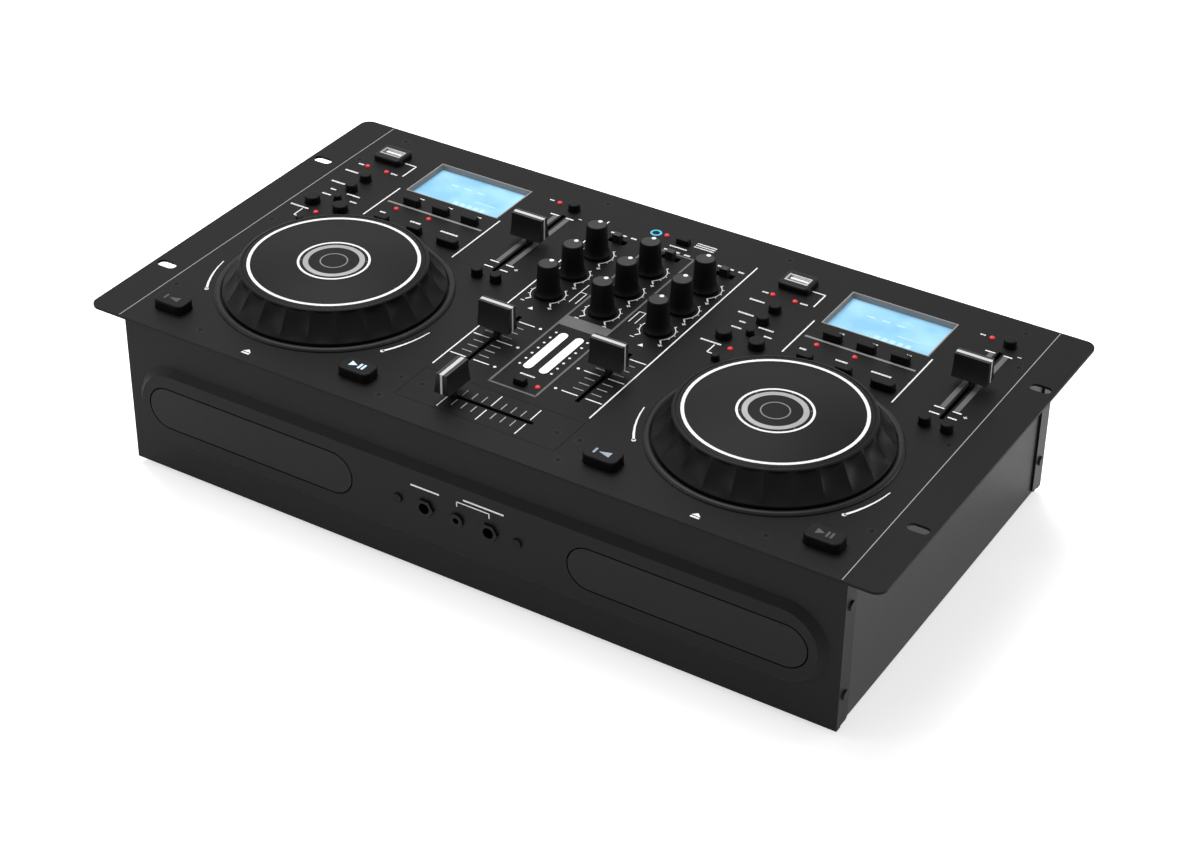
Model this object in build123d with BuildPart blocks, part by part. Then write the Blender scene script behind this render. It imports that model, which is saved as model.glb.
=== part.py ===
"""Rack-top twin disc player with a built-in two-channel mixer.

Frame: origin on the floor under the middle of the case, +X to the right seen
from the front, +Y to the back, +Z up. Lengths are millimetres.
"""

from build123d import *
import os
from math import cos, radians, sin, sqrt

os.makedirs("parts", exist_ok=True)

# ---------------------------------------------------------------- dimensions
# Case
plate_length = 482.6  # nineteen inch rack width
plate_depth = 259.5
plate_thickness = 1.5
plate_corner = 6.5
sheet = 1.2  # folded case sheet
body_width = 441.8  # over the flanges of the front and rear panels
body_height = 96.6  # underside of the case to the top face
foot_height = 4.0
overhang = 5.75  # plate beyond the front and rear panels
case_flange = 10.0  # depth of the folded flanges and of the screw tabs
flange_corner = 2.0
flange_root = 3.0  # full height of a side flange next to its fold
flange_gap = 0.2  # between neighbouring folded sheets
tab_width = 12.0  # screw tabs along the top of the case
foot_x = 195.0
foot_y = 98.0
foot_radius = 10.0
foot_taper = 8.0
foot_recess_radius = 3.3
foot_recess_depth = 2.0

# Rack slots and screws
rack_spacing_x = 465.1
rack_spacing_y = 146.05
rack_slot_length = 12.0
rack_slot_width = 6.5
screw_shank = 1.5  # radius
screw_head = 2.95  # radius
screw_length = 6.0
screw_play = 0.15  # radial, where a screw passes freely
pan_head_height = 1.2
rear_screw_inset = 10.75  # from the rear edge of the plate
front_screw_inset = 12.25  # from the front edge of the plate
edge_screw_inset = 4.0  # from the inner face of the side wall
rear_screw_x = (60.0, 204.0)
front_screw_x = (55.0, 173.0)
edge_screw_y = (-87.0, -0.5, 85.5)
side_screw_inset = 5.7  # from the outer face of the front or rear panel
side_screw_levels = (19.9, 74.9)  # above the underside of the case

# Decks: everything on a deck is placed from its centre line
deck_offset = 137.5
jog_y = -43.6
control_gap = 0.3  # between a control and its hole in the plate
board_drop = 12.6  # plate top face to the component side of the boards
board_thickness = 1.6
board_edge_gap = 12.0  # from the front and rear panels
board_gap = 2.0  # from the side walls and between boards
switch_side = 6.0  # push switch under each key
switch_height = 4.3
key_travel = 1.2
key_stem = 1.5  # radius
key_flange = 1.0  # rim that holds a key under the plate
key_fillet = 0.8

# Jog wheels
jog_radius = 62.0
jog_disc_radius = 52.5
jog_height = 17.8
jog_clearance = 1.0  # wheel above the plate
jog_wall = 3.0
jog_rim_height = 2.4  # plain band below the finger scallops
jog_edge = 0.8
jog_hub_radius = 8.0
jog_hub_cap = 1.5  # closes the hub's bore under the disc
scallop_count = 24
scallop_radius = 14.0
scallop_depth = 1.7
surround_width = 4.0
surround_height = 1.7
surround_inner_height = 1.0
surround_outer_height = 0.5
surround_crest = 2.2  # from the inner edge
surround_gap = 0.6
spindle_radius = 4.0
spindle_shoulder = 10.0  # radius of the spindle's foot in the plate
spindle_flange = 17.0  # radius, under the plate
spindle_flange_thickness = 2.0
spindle_end_gap = 0.5
running_gap = 0.05  # radial clearance of shafts that turn

# Display
display_y = 89.0
display_width = 64.4
display_depth = 38.6
display_recess = 4.5
display_wall = 2.0

# Drive and tray
tray_offset = 135.75
tray_level = 44.3  # above the underside of the case
tray_front_width = 136.5
tray_front_height = 25.0
tray_front_gap = 0.8
tray_front_thickness = 6.0
tray_width = 128.0
tray_depth = 160.0
tray_thickness = 8.0
tray_drop = 5.0  # underside of the tray below its centre level
disc_well = 60.5  # radius
disc_well_depth = 2.5
disc_front_margin = 6.0
tray_slot = 34.0
drive_wall = 2.0
drive_height = 36.0
rail_overlap = 4.0
rail_thickness = 3.0
rail_gap = 0.3
slide_gap = 0.1
hub_radius = 14.0
hub_lift = 0.7  # hub flange above the underside of the tray
hub_flange_thickness = 2.0
hub_neck = 5.0  # radius
hub_nose = 7.4  # radius, for a disc with a 15 mm hole
hub_nose_tip = 6.4  # radius
hub_nose_height = 2.0
hub_shaft = 1.5  # radius
hub_shaft_depth = 6.0
motor_gap = 5.0  # motor below the tray
drive_front_gap = 5.0  # behind the front panel
drive_rear_gap = 6.0  # behind the closed tray
drive_side_gap = 8.0  # beside the tray
drive_drop = 17.0  # floor of the drive below the tray
drive_post_radius = 4.0
drive_post_x = 6.0  # from the inner faces of the drive's sides
drive_post_y = 20.0  # from the drive's ends
bridge_depth = 36.0
clamp_drop = 4.0

# Front panel plateau
plateau_length = 428.0
plateau_height = 50.5
plateau_rise = 4.0
plateau_wall_inset = 0.5  # inner outline of the pressing inside the outer one

# Front jacks: place along X and bore radius
jack_pitch = 20.0
large_bore = 3.25
small_bore = 1.8
jack_body = 12.5
jack_length = 26.0
jack_nut = 5.6  # radius
jack_nut_height = 1.4
small_nut = 4.0  # radius
jack_sleeve = 1.2  # wall of the threaded sleeve
jack_end_wall = 2.0
jack_screw_offset = 37.3
jack_board_x = 5.0  # board beyond the screws
jack_board_z = 3.0  # board above and below the jacks

# Mixer
knob_pitch_x = 35.0
knob_pitch_y = 25.5
knob_row_y = 40.0
knob_height = 20.0
knob_top = 5.9  # radius
knob_skirt = 8.0  # radius
knob_edge = 0.6
knob_taper = 0.5
knob_flare = 0.9
knob_flare_top = 6.0  # levels of the flared skirt above the plate
knob_flare_middle = 3.4
knob_skirt_top = 1.6
knob_lift = 0.8
knob_recess = 3.0
knob_recess_gap = 0.7  # around the bush
shaft_radius = 3.0
bush_radius = 3.5
pot_side = 11.0
pot_height = 7.0
pot_floor = 2.0  # floor under shafts and levers
cross_y = -97.25
cross_plate_width = 98.4
cross_plate_depth = 29.5
cross_plate_gap = 0.2
cross_ear = 12.0
cross_ear_lap = 6.0
cross_bracket = 4.0  # fader bracket beyond its screws
cross_bracket_thickness = 1.0
cross_screw_offset = 41.5
cross_ear_screw_offset = 55.0

# Faders: slot, body and cap
fader_slot_width = 2.4
fader_body_width = 9.0
fader_body_height = 9.0
fader_end_wall = 3.0
lever_width = 5.0
lever_thickness = 1.4
cap_length = 20.0
cap_waist = 0.4  # scooped faces outside the cap's tip
channel_x = 35.0
channel_y = -40.6
channel_slot = 55.0
channel_rest = -36.5
channel_cap_bottom = 6.0
channel_cap_top = 20.8
channel_cap_base = 9.0
channel_cap_tip = 5.5
cross_slot = 54.0
cross_rest = -22.5
cross_cap_top = 17.8
cross_cap_base = 9.5
cross_cap_tip = 6.5
pitch_x = 63.2
pitch_y = 56.5
pitch_slot = 75.0
pitch_cap_bottom = 5.0
pitch_cap_top = 18.3
pitch_cap_base = 10.0
pitch_cap_tip = 6.0

# Level meter
bar_x = 4.9
bar_width = 5.2
bar_length = 40.3
bar_y = -34.85
meter_rim = 2.0
meter_body_height = 9.0

# USB sockets
usb_x = -60.5
usb_y = 97.0
usb_bezel_x = 18.6
usb_bezel_y = 16.0
usb_bezel_height = 4.0
usb_bezel_corner = 2.5
usb_bezel_fillet = 1.2
usb_body_x = 15.4
usb_body_y = 9.0
usb_cavity_x = 12.6
usb_cavity_y = 5.2
usb_depth = 12.0

# Rear side
socket_level = 46.0  # above the underside of the case
line_pitch_x = 26.0
line_pitch_z = 15.0
line_first_x = -150.0
line_count = 4
line_barrel = 4.15  # radius
line_pin_hole = 1.7  # radius
line_block = 13.0
line_proud = 5.5  # barrels beyond the rear panel
line_bore_depth = 12.7
inlet_x = 172.0
inlet_width = 27.0
inlet_height = 19.6
inlet_wall = 1.6
inlet_depth = 18.0
inlet_rim = 2.0
rocker_x = 134.0
rocker_radius = 7.2
rocker_width = 13.0
rocker_tilt = 12.0
rocker_gap = 0.3
rocker_pin = 1.0  # radius
rocker_pin_reach = 1.0  # into each side of the housing
rocker_pin_end_gap = 0.2
rocker_inset = 2.0  # pivot behind the face of the rear panel
rocker_fold = 2.6  # fold of the rocker's face in front of the pivot
rocker_wall = 1.5
rocker_rim = 1.5
trim_height = 2.0  # rims of the inlet and of the power switch
trim_corner = 2.0

# Power supply on the floor of the case: board, transformer, capacitors and heat sink
supply_y = 78.0
supply_width = 96.0
supply_depth = 60.0
supply_lift = 6.0
supply_post = 3.0  # radius
supply_post_inset = 5.0
transformer_x = 22.0
transformer_width = 34.0
transformer_depth = 30.0
transformer_height = 28.0
capacitor_x = -14.0
capacitor_pitch = 28.0
capacitor_radius = 8.0
capacitor_height = 24.0
sink_x = -36.0
sink_thickness = 3.0
sink_length = 44.0
sink_height = 26.0
fin_count = 5
fin_pitch = 9.0
fin_length = 6.0
fin_thickness = 1.5

# ------------------------------------------------------------ derived levels
plate_top = foot_height + body_height
plate_under = plate_top - plate_thickness
front_face = -plate_depth / 2 + overhang
rear_face = plate_depth / 2 - overhang
wall_outer = body_width / 2 - sheet
wall_inner = wall_outer - sheet
floor_top = foot_height + sheet
board_top = plate_top - board_drop
plateau_face = front_face - plateau_rise
tray_z = foot_height + tray_level
tray_under = tray_z - tray_drop
socket_z = foot_height + socket_level
panel_flange_x = wall_inner - flange_gap
panel_height = plate_under - foot_height
panel_middle = foot_height + panel_height / 2
board_half_depth = rear_face - board_edge_gap
deck_centres = {"a": -deck_offset, "b": deck_offset}
tray_centres = {"a": -tray_offset, "b": tray_offset}

# Keys on a deck: x and y from the deck's centre line, length, depth, corner
# radius (0 for a round key) and height above the plate
deck_keys = {
    "cue_key": [(-62.5, -107.0, 20.0, 12.5, 4.0, 5.5)],
    "play_key": [(62.0, -107.5, 20.0, 12.5, 4.0, 5.5)],
    "function_keys": [
        (-58.5, 66.0, 7.0, 7.0, 0.0, 4.5),
        (-58.5, 52.0, 7.0, 7.0, 0.0, 4.5),
        (-58.5, 38.0, 4.6, 4.6, 0.0, 3.5),
        (-62.0, 6.0, 4.6, 4.6, 0.0, 3.5),
    ],
    "track_keys": [
        (-69.5, 28.5, 9.0, 9.0, 0.0, 4.5),
        (-49.5, 28.5, 9.0, 9.0, 0.0, 4.5),
    ],
    "display_keys": [
        (-18.6, 57.1, 10.5, 4.5, 1.0, 4.5),
        (1.6, 57.1, 10.5, 4.5, 1.0, 4.5),
        (21.8, 57.1, 10.5, 4.5, 1.0, 4.5),
    ],
    "mode_keys": [
        (-21.5, 30.5, 9.0, 5.0, 1.5, 4.5),
        (1.5, 30.5, 9.0, 5.0, 1.5, 4.5),
        (25.1, 29.5, 14.0, 6.3, 3.0, 4.5),
    ],
    "pitch_keys": [
        (64.5, 102.5, 7.0, 7.0, 0.0, 4.5),
        (58.0, 10.5, 6.5, 6.5, 0.0, 5.0),
        (70.5, 10.5, 6.5, 6.5, 0.0, 5.0),
    ],
}
mixer_keys = {
    "meter_key": [(1.0, -69.0, 7.0, 4.5, 1.0, 3.5)],
    "pairing_key": [(0.0, 103.0, 8.0, 4.5, 1.0, 3.5)],
}
source_switches = {"left": -33.0, "middle": 2.0, "right": 37.0}
source_y = 85.0
source_cap_x = 5.0
source_cap_y = 4.0
source_cap_height = 5.0
source_fillet = 0.6
source_travel = 3.0
source_lever_length = 2.0
source_body_x = 14.0
source_body_y = 7.0
source_body_height = 5.0

# Indicator lamps, placed like the keys
lamp_radius = 1.5
lamp_proud = 0.9
lamp_fillet = 0.8
deck_lamps = [
    (-67.8, 80.9),
    (-54.0, 81.0),
    (-60.5, 19.5),
    (-23.3, 47.7),
    (-0.5, 47.7),
    (53.0, 105.0),
]
mixer_lamps = [(10.8, -67.5), (-12.5, 105.8)]

# Spacers between the plate and the boards
spacer_radius = 2.5
deck_spacers = [(-74, -10), (74, -10), (-30, -108), (30, -108), (-45, 106), (45, 90)]
mixer_spacers = [(-50, 0), (50, 0), (-45, 104), (45, 104), (-20, -79), (20, -79)]

# Screws that hold the plate: on the side walls, on the rear panel and on the front panel
edge_screws = [(side * (wall_inner - edge_screw_inset), y) for side in (-1, 1) for y in edge_screw_y]
rear_screws = [(side * x, plate_depth / 2 - rear_screw_inset) for side in (-1, 1) for x in rear_screw_x]
front_screws = [(side * x, front_screw_inset - plate_depth / 2) for side in (-1, 1) for x in front_screw_x]
plate_screws = edge_screws + rear_screws + front_screws
ear_screws = [(side * cross_ear_screw_offset, cross_y) for side in (-1, 1)]
cross_screws = [(side * cross_screw_offset, cross_y) for side in (-1, 1)]

# ------------------------------------------------------------- shared shapes


def key_outline(length, depth, corner, grow=0.0):
    """Draw a key's outline, grown by a margin, in the sketch that is open."""
    if corner == 0.0:
        Circle(length / 2 + grow)
    else:
        RectangleRounded(length + 2 * grow, depth + 2 * grow, corner + grow)


def all_keys():
    """Every key on the plate with its place in the case's frame."""
    for deck_x in deck_centres.values():
        for group in deck_keys.values():
            for x, y, length, depth, corner, height in group:
                yield deck_x + x, y, length, depth, corner, height
    for group in mixer_keys.values():
        yield from group


def lamp_places():
    """Every indicator lamp in the case's frame."""
    places = [(deck_x + x, y) for deck_x in deck_centres.values() for x, y in deck_lamps]
    return places + mixer_lamps


def knob_places():
    """The nine rotary controls: column and row names with their places."""
    columns = {"left": -knob_pitch_x, "middle": 0.0, "right": knob_pitch_x}
    rows = {"top": knob_row_y + knob_pitch_y, "centre": knob_row_y, "low": knob_row_y - knob_pitch_y}
    return {
        f"{column}_{row}": (x, y)
        for column, x in columns.items()
        for row, y in rows.items()
    }


def spacer_places():
    """Every spacer under the plate."""
    places = [(deck_x + x, y) for deck_x in deck_centres.values() for x, y in deck_spacers]
    return places + mixer_spacers


# ------------------------------------------------------------------ top plate
with BuildPart() as top_plate:
    with BuildSketch(Plane.XY.offset(plate_under)):
        RectangleRounded(plate_length, plate_depth, plate_corner)
        with GridLocations(rack_spacing_x, rack_spacing_y, 2, 2):
            SlotOverall(rack_slot_length, rack_slot_width, mode=Mode.SUBTRACT)
        for deck_x in deck_centres.values():
            with Locations((deck_x, jog_y)):
                Circle(spindle_shoulder + control_gap, mode=Mode.SUBTRACT)
            with Locations((deck_x, display_y)):
                Rectangle(display_width, display_depth, mode=Mode.SUBTRACT)
            with Locations((deck_x + usb_x, usb_y)):
                Rectangle(usb_body_x + control_gap, usb_body_y + control_gap, mode=Mode.SUBTRACT)
            with Locations((deck_x + pitch_x, pitch_y)):
                Rectangle(fader_slot_width, pitch_slot, mode=Mode.SUBTRACT)
        for x in (-channel_x, channel_x):
            with Locations((x, channel_y)):
                Rectangle(fader_slot_width, channel_slot, mode=Mode.SUBTRACT)
        with Locations((0, cross_y)):
            Rectangle(
                cross_plate_width + 2 * cross_plate_gap,
                cross_plate_depth + 2 * cross_plate_gap,
                mode=Mode.SUBTRACT,
            )
        for x in (-bar_x, bar_x):
            with Locations((x, bar_y)):
                Rectangle(bar_width, bar_length, mode=Mode.SUBTRACT)
        for x in source_switches.values():
            with Locations((x, source_y)):
                Rectangle(
                    source_cap_x + 2 * source_travel + 2 * control_gap,
                    source_cap_y + 2 * control_gap,
                    mode=Mode.SUBTRACT,
                )
        for x, y in knob_places().values():
            with Locations((x, y)):
                Circle(bush_radius + control_gap, mode=Mode.SUBTRACT)
        for x, y in lamp_places():
            with Locations((x, y)):
                Circle(lamp_radius, mode=Mode.SUBTRACT)
        for x, y, length, depth, corner, _ in all_keys():
            with BuildSketch(mode=Mode.PRIVATE) as key_hole:
                with Locations((x, y)):
                    key_outline(length, depth, corner, control_gap)
            add(key_hole.sketch, mode=Mode.SUBTRACT)
    extrude(amount=plate_thickness)
    with Locations(*[(x, y, plate_top) for x, y in plate_screws + ear_screws]):
        CounterSinkHole(screw_shank + screw_play, screw_head, counter_sink_angle=90)
    with BuildSketch(Plane.XY.offset(plate_under)):
        with Locations(*spacer_places()):
            Circle(spacer_radius)
    extrude(amount=board_top - plate_under)
top_plate.part.label = "top_plate"
export_step(top_plate.part, "parts/top_plate.step")

# ------------------------------------------------------------------- base pan
with BuildPart() as base_pan:
    with BuildSketch(Plane.XZ.offset(-rear_face + sheet)):
        with Locations((0, foot_height)):
            Rectangle(2 * wall_outer, panel_height, align=(Align.CENTER, Align.MIN))
        with Locations((0, floor_top)):
            Rectangle(2 * wall_inner, panel_height, align=(Align.CENTER, Align.MIN), mode=Mode.SUBTRACT)
    extrude(amount=2 * (rear_face - sheet))
    with BuildSketch(Plane.XY.offset(plate_under)):
        for side in (-1, 1):
            for y in edge_screw_y:
                with Locations((side * (wall_inner - case_flange / 2), y)):
                    Rectangle(case_flange, tab_width)
    extrude(amount=-sheet)
    with Locations(*[(x, y, plate_under) for x, y in edge_screws]):
        Hole(screw_shank, depth=sheet)
    for side in (-1, 1):
        for end in (-1, 1):
            for level in side_screw_levels:
                place = (side * wall_outer, end * (rear_face - side_screw_inset), foot_height + level)
                with Locations(Location(place, (0, 90, 0))):
                    Hole(screw_shank, depth=2 * sheet)
base_pan.part.label = "base_pan"
export_step(base_pan.part, "parts/base_pan.step")


# --------------------------------------------------------------- case panels
def panel_shell(end):
    """Draw a folded panel at the front (end -1) or the rear (end 1) of the case."""
    flange_middle = end * (rear_face - sheet - case_flange / 2)
    top_screws = front_screws if end < 0 else rear_screws
    with BuildPart() as shell:
        with BuildSketch(Plane.XZ.offset(-end * rear_face)):
            with Locations((0, foot_height)):
                Rectangle(body_width, panel_height, align=(Align.CENTER, Align.MIN))
        extrude(amount=end * sheet)
        with BuildSketch(Plane.XY.offset(plate_under)):
            with Locations(*[(x, flange_middle) for x, _ in top_screws]):
                Rectangle(tab_width, case_flange)
        extrude(amount=-sheet)
        with BuildSketch(Plane.XY.offset(floor_top)):
            with Locations((0, flange_middle)):
                Rectangle(2 * panel_flange_x, case_flange)
        extrude(amount=sheet)
        for side in (-1, 1):
            with BuildSketch(Plane.YZ.offset(side * wall_outer)):
                with Locations((flange_middle, panel_middle)):
                    RectangleRounded(case_flange, panel_height - flange_corner, flange_corner)
                with Locations((end * (rear_face - sheet - flange_root / 2), panel_middle)):
                    Rectangle(flange_root, panel_height)
            extrude(amount=side * sheet)
            for level in side_screw_levels:
                place = (side * body_width / 2, end * (rear_face - side_screw_inset), foot_height + level)
                with Locations(Location(place, (0, side * 90, 0))):
                    Hole(screw_shank, depth=sheet)
        with Locations(*[(x, y, plate_under) for x, y in top_screws]):
            Hole(screw_shank, depth=sheet)
    return shell.part


# ---------------------------------------------------------------- front panel
with BuildPart() as front_panel:
    add(panel_shell(-1))
    # Pressed plateau: a lofted obround, hollow behind by the sheet's thickness
    for rise, shrink, mode in ((0.0, 0.0, Mode.ADD), (sheet, plateau_wall_inset, Mode.SUBTRACT)):
        with BuildSketch(Plane.XZ.offset(-front_face - rise)):
            with Locations((0, tray_z)):
                SlotOverall(plateau_length - 2 * shrink, plateau_height - 2 * shrink)
        with BuildSketch(Plane.XZ.offset(-plateau_face - rise)):
            with Locations((0, tray_z)):
                SlotOverall(
                    plateau_length - 2 * plateau_rise - 2 * shrink,
                    plateau_height - 2 * plateau_rise - 2 * shrink,
                )
        loft(mode=mode)
    with BuildSketch(Plane.XZ.offset(-plateau_face)):
        for x in tray_centres.values():
            with Locations((x, tray_z)):
                SlotOverall(tray_front_width + 2 * tray_front_gap, tray_front_height + 2 * tray_front_gap)
        with Locations((-jack_pitch, tray_z), (jack_pitch, tray_z)):
            Circle(large_bore + jack_sleeve)
        with Locations((0, tray_z)):
            Circle(small_bore + jack_sleeve)
        with Locations((-jack_screw_offset, tray_z), (jack_screw_offset, tray_z)):
            Circle(screw_shank)
    extrude(amount=-(plateau_rise + 2 * sheet), mode=Mode.SUBTRACT)
front_panel.part.label = "front_panel"
export_step(front_panel.part, "parts/front_panel.step")

# ----------------------------------------------------------------- rear panel
line_places = [line_first_x + i * line_pitch_x for i in range(line_count)]
rocker_axis_y = rear_face - rocker_inset
rocker_hole_height = 2 * (rocker_radius + rocker_gap)
rocker_hole_width = rocker_width + 2 * rocker_gap
rocker_case_height = rocker_hole_height + 2 * rocker_wall
rocker_case_width = rocker_hole_width + 2 * rocker_wall
with BuildPart() as rear_panel:
    add(panel_shell(1))
    with BuildSketch(Plane.XZ.offset(-rear_face)):
        for x in line_places:
            for level in (-1, 1):
                with Locations((x, socket_z + level * line_pitch_z / 2)):
                    Circle(line_barrel)
        with Locations((inlet_x, socket_z)):
            Rectangle(inlet_width, inlet_height)
        with Locations((rocker_x, socket_z)):
            Rectangle(rocker_case_width, rocker_case_height)
    extrude(amount=2 * sheet, mode=Mode.SUBTRACT)
rear_panel.part.label = "rear_panel"
export_step(rear_panel.part, "parts/rear_panel.step")

# ----------------------------------------------------------- crossfader plate
with BuildPart() as crossfader_plate:
    with BuildSketch(Plane.XY.offset(plate_under)):
        with Locations((0, cross_y)):
            Rectangle(cross_plate_width, cross_plate_depth)
            Rectangle(cross_slot, fader_slot_width, mode=Mode.SUBTRACT)
    extrude(amount=plate_thickness)
    with BuildSketch(Plane.XY.offset(plate_under)):
        for side in (-1, 1):
            with Locations((side * (cross_plate_width + cross_ear - cross_ear_lap) / 2, cross_y)):
                Rectangle(cross_ear + cross_ear_lap, cross_plate_depth)
    extrude(amount=-plate_thickness)
    with Locations(*[(x, y, plate_under) for x, y in ear_screws]):
        Hole(screw_shank, depth=plate_thickness)
    with Locations(*[(x, y, plate_top) for x, y in cross_screws]):
        CounterSinkHole(screw_shank + screw_play, screw_head, counter_sink_angle=90)
crossfader_plate.part.label = "crossfader_plate"
export_step(crossfader_plate.part, "parts/crossfader_plate.step")

# ------------------------------------------------------------------------ feet
with BuildPart() as rubber_feet:
    with BuildSketch(Plane.XY.offset(foot_height)):
        with GridLocations(2 * foot_x, 2 * foot_y, 2, 2):
            Circle(foot_radius)
    extrude(amount=-foot_height, taper=foot_taper)
    with BuildSketch(Plane.XY):
        with GridLocations(2 * foot_x, 2 * foot_y, 2, 2):
            Circle(foot_recess_radius)
    extrude(amount=foot_recess_depth, mode=Mode.SUBTRACT)
rubber_feet.part.label = "rubber_feet"
export_step(rubber_feet.part, "parts/rubber_feet.step")

# --------------------------------------------------------------------- screws
with BuildPart() as sunk_screw:
    with BuildSketch(Plane.XZ):
        with BuildLine():
            Polyline(
                (0, 0),
                (screw_head, 0),
                (screw_shank, screw_shank - screw_head),
                (screw_shank, -screw_length),
                (0, -screw_length),
                close=True,
            )
        make_face()
    revolve(axis=Axis.Z)

with BuildPart() as pan_screw:
    with BuildSketch(Plane.XY):
        Circle(screw_head)
    extrude(amount=pan_head_height, taper=20)
    with BuildSketch(Plane.XY):
        Circle(screw_shank)
    extrude(amount=-2 * sheet)

with BuildPart() as case_screws:
    with Locations(*[(x, y, plate_top) for x, y in plate_screws + ear_screws + cross_screws]):
        add(sunk_screw.part)
    for side in (-1, 1):
        for end in (-1, 1):
            for level in side_screw_levels:
                place = (side * body_width / 2, end * (rear_face - side_screw_inset), foot_height + level)
                with Locations(Location(place, (0, side * 90, 0))):
                    add(pan_screw.part)
    for side in (-1, 1):
        with Locations(Location((side * jack_screw_offset, plateau_face, tray_z), (90, 0, 0))):
            add(pan_screw.part)
case_screws.part.label = "case_screws"
export_step(case_screws.part, "parts/case_screws.step")


# ----------------------------------------------------------------- jog wheels
# Low rings on the plate around the wheels
surround_inner = jog_radius + surround_gap
surround_outer = surround_inner + surround_width
with BuildPart() as jog_surrounds:
    for deck_x in deck_centres.values():
        with BuildSketch(Plane((deck_x, jog_y, plate_top), x_dir=(1, 0, 0), z_dir=(0, -1, 0))):
            with BuildLine():
                Polyline(
                    (surround_inner, surround_inner_height),
                    (surround_inner, 0),
                    (surround_outer, 0),
                    (surround_outer, surround_outer_height),
                )
                ThreePointArc(
                    (surround_outer, surround_outer_height),
                    (surround_inner + surround_crest, surround_height),
                    (surround_inner, surround_inner_height),
                )
            make_face()
        revolve(axis=Axis((deck_x, jog_y, 0), (0, 0, 1)))
jog_surrounds.part.label = "jog_surrounds"
export_step(jog_surrounds.part, "parts/jog_surrounds.step")

# Fixed spindles that carry the wheels, hung under the plate by their flanges
hub_bore_top = jog_height - jog_wall - jog_hub_cap
spindle_places = [(deck_x, jog_y) for deck_x in deck_centres.values()]
with BuildPart() as jog_spindles:
    with BuildSketch(Plane.XY.offset(plate_under)):
        with Locations(*spindle_places):
            Circle(spindle_flange)
    extrude(amount=-spindle_flange_thickness)
    with BuildSketch(Plane.XY.offset(plate_under)):
        with Locations(*spindle_places):
            Circle(spindle_shoulder)
    extrude(amount=plate_thickness + jog_clearance)
    with BuildSketch(Plane.XY.offset(plate_top + jog_clearance)):
        with Locations(*spindle_places):
            Circle(spindle_radius)
    extrude(amount=hub_bore_top - spindle_end_gap - jog_clearance)
jog_spindles.part.label = "jog_spindles"
export_step(jog_spindles.part, "parts/jog_spindles.step")


def make_jog_wheel(name, deck_x):
    """Platter with a flared skirt that is scalloped for the fingers."""
    bore = spindle_radius + running_gap
    skirt_run = jog_radius - jog_disc_radius
    skirt_drop = jog_height - jog_rim_height - jog_clearance
    skirt_length = sqrt(skirt_run**2 + skirt_drop**2)
    middle_r = (jog_radius + jog_disc_radius) / 2
    middle_z = (jog_height + jog_rim_height + jog_clearance) / 2
    reach = scallop_radius - scallop_depth
    scallop_r = middle_r + reach * skirt_drop / skirt_length
    scallop_z = plate_top + middle_z + reach * skirt_run / skirt_length
    with BuildPart() as wheel:
        with BuildSketch(Plane((deck_x, jog_y, plate_top), x_dir=(1, 0, 0), z_dir=(0, -1, 0))):
            with BuildLine():
                Polyline(
                    (0, jog_height),
                    (jog_disc_radius - jog_edge, jog_height),
                    (jog_disc_radius, jog_height - jog_edge),
                    (jog_radius, jog_clearance + jog_rim_height),
                    (jog_radius, jog_clearance),
                    (jog_radius - jog_wall, jog_clearance),
                    (jog_disc_radius - jog_wall, jog_height - jog_wall),
                    (jog_hub_radius, jog_height - jog_wall),
                    (jog_hub_radius, jog_clearance),
                    (bore, jog_clearance),
                    (bore, hub_bore_top),
                    (0, hub_bore_top),
                    close=True,
                )
            make_face()
        revolve(axis=Axis((deck_x, jog_y, 0), (0, 0, 1)))
        with Locations((deck_x, jog_y, scallop_z)):
            with PolarLocations(scallop_r, scallop_count):
                Sphere(scallop_radius, mode=Mode.SUBTRACT)
    wheel.part.label = name
    export_step(wheel.part, f"parts/{name}.step")


for deck, deck_x in deck_centres.items():
    make_jog_wheel(f"jog_wheel_{deck}", deck_x)


# ----------------------------------------------------------------------- keys
def make_keys(name, group):
    """Keycaps on stems, each held under the plate by its rim."""
    with BuildPart() as keys:
        for x, y, length, depth, corner, height in group:
            with BuildSketch(Plane.XY.offset(plate_under)):
                with Locations((x, y)):
                    key_outline(length, depth, corner)
            extrude(amount=plate_thickness + height)
            with BuildSketch(Plane.XY.offset(plate_under)):
                with Locations((x, y)):
                    key_outline(length, depth, corner, key_flange)
            extrude(amount=-key_flange)
            with BuildSketch(Plane.XY.offset(plate_under)):
                with Locations((x, y)):
                    Circle(key_stem)
            extrude(amount=board_top + switch_height + key_travel - plate_under)
        caps = keys.faces().filter_by(Axis.Z).filter_by(lambda face: face.center().Z > plate_top)
        fillet(caps.edges(), radius=key_fillet)
    keys.part.label = name
    export_step(keys.part, f"parts/{name}.step")


for deck, deck_x in deck_centres.items():
    for key_name, group in deck_keys.items():
        make_keys(f"{key_name}_{deck}", [(deck_x + key[0], *key[1:]) for key in group])
for key_name, group in mixer_keys.items():
    make_keys(key_name, group)

# --------------------------------------------------------------------- boards
board_specs = {
    "a": (-deck_offset, 2 * (wall_inner - deck_offset - board_gap)),
    "mixer": (0.0, 2 * (2 * deck_offset - wall_inner - board_gap)),
    "b": (deck_offset, 2 * (wall_inner - deck_offset - board_gap)),
}
with BuildPart() as control_boards:
    for board_x, board_width in board_specs.values():
        with BuildSketch(Plane.XY.offset(board_top)):
            with Locations((board_x, 0)):
                Rectangle(board_width, 2 * board_half_depth)
        extrude(amount=-board_thickness)
    with BuildSketch(Plane.XY.offset(board_top)):
        for x, y, *_ in all_keys():
            with Locations((x, y)):
                Rectangle(switch_side, switch_side)
    extrude(amount=switch_height)
control_boards.part.label = "control_boards"
export_step(control_boards.part, "parts/control_boards.step")

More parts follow.
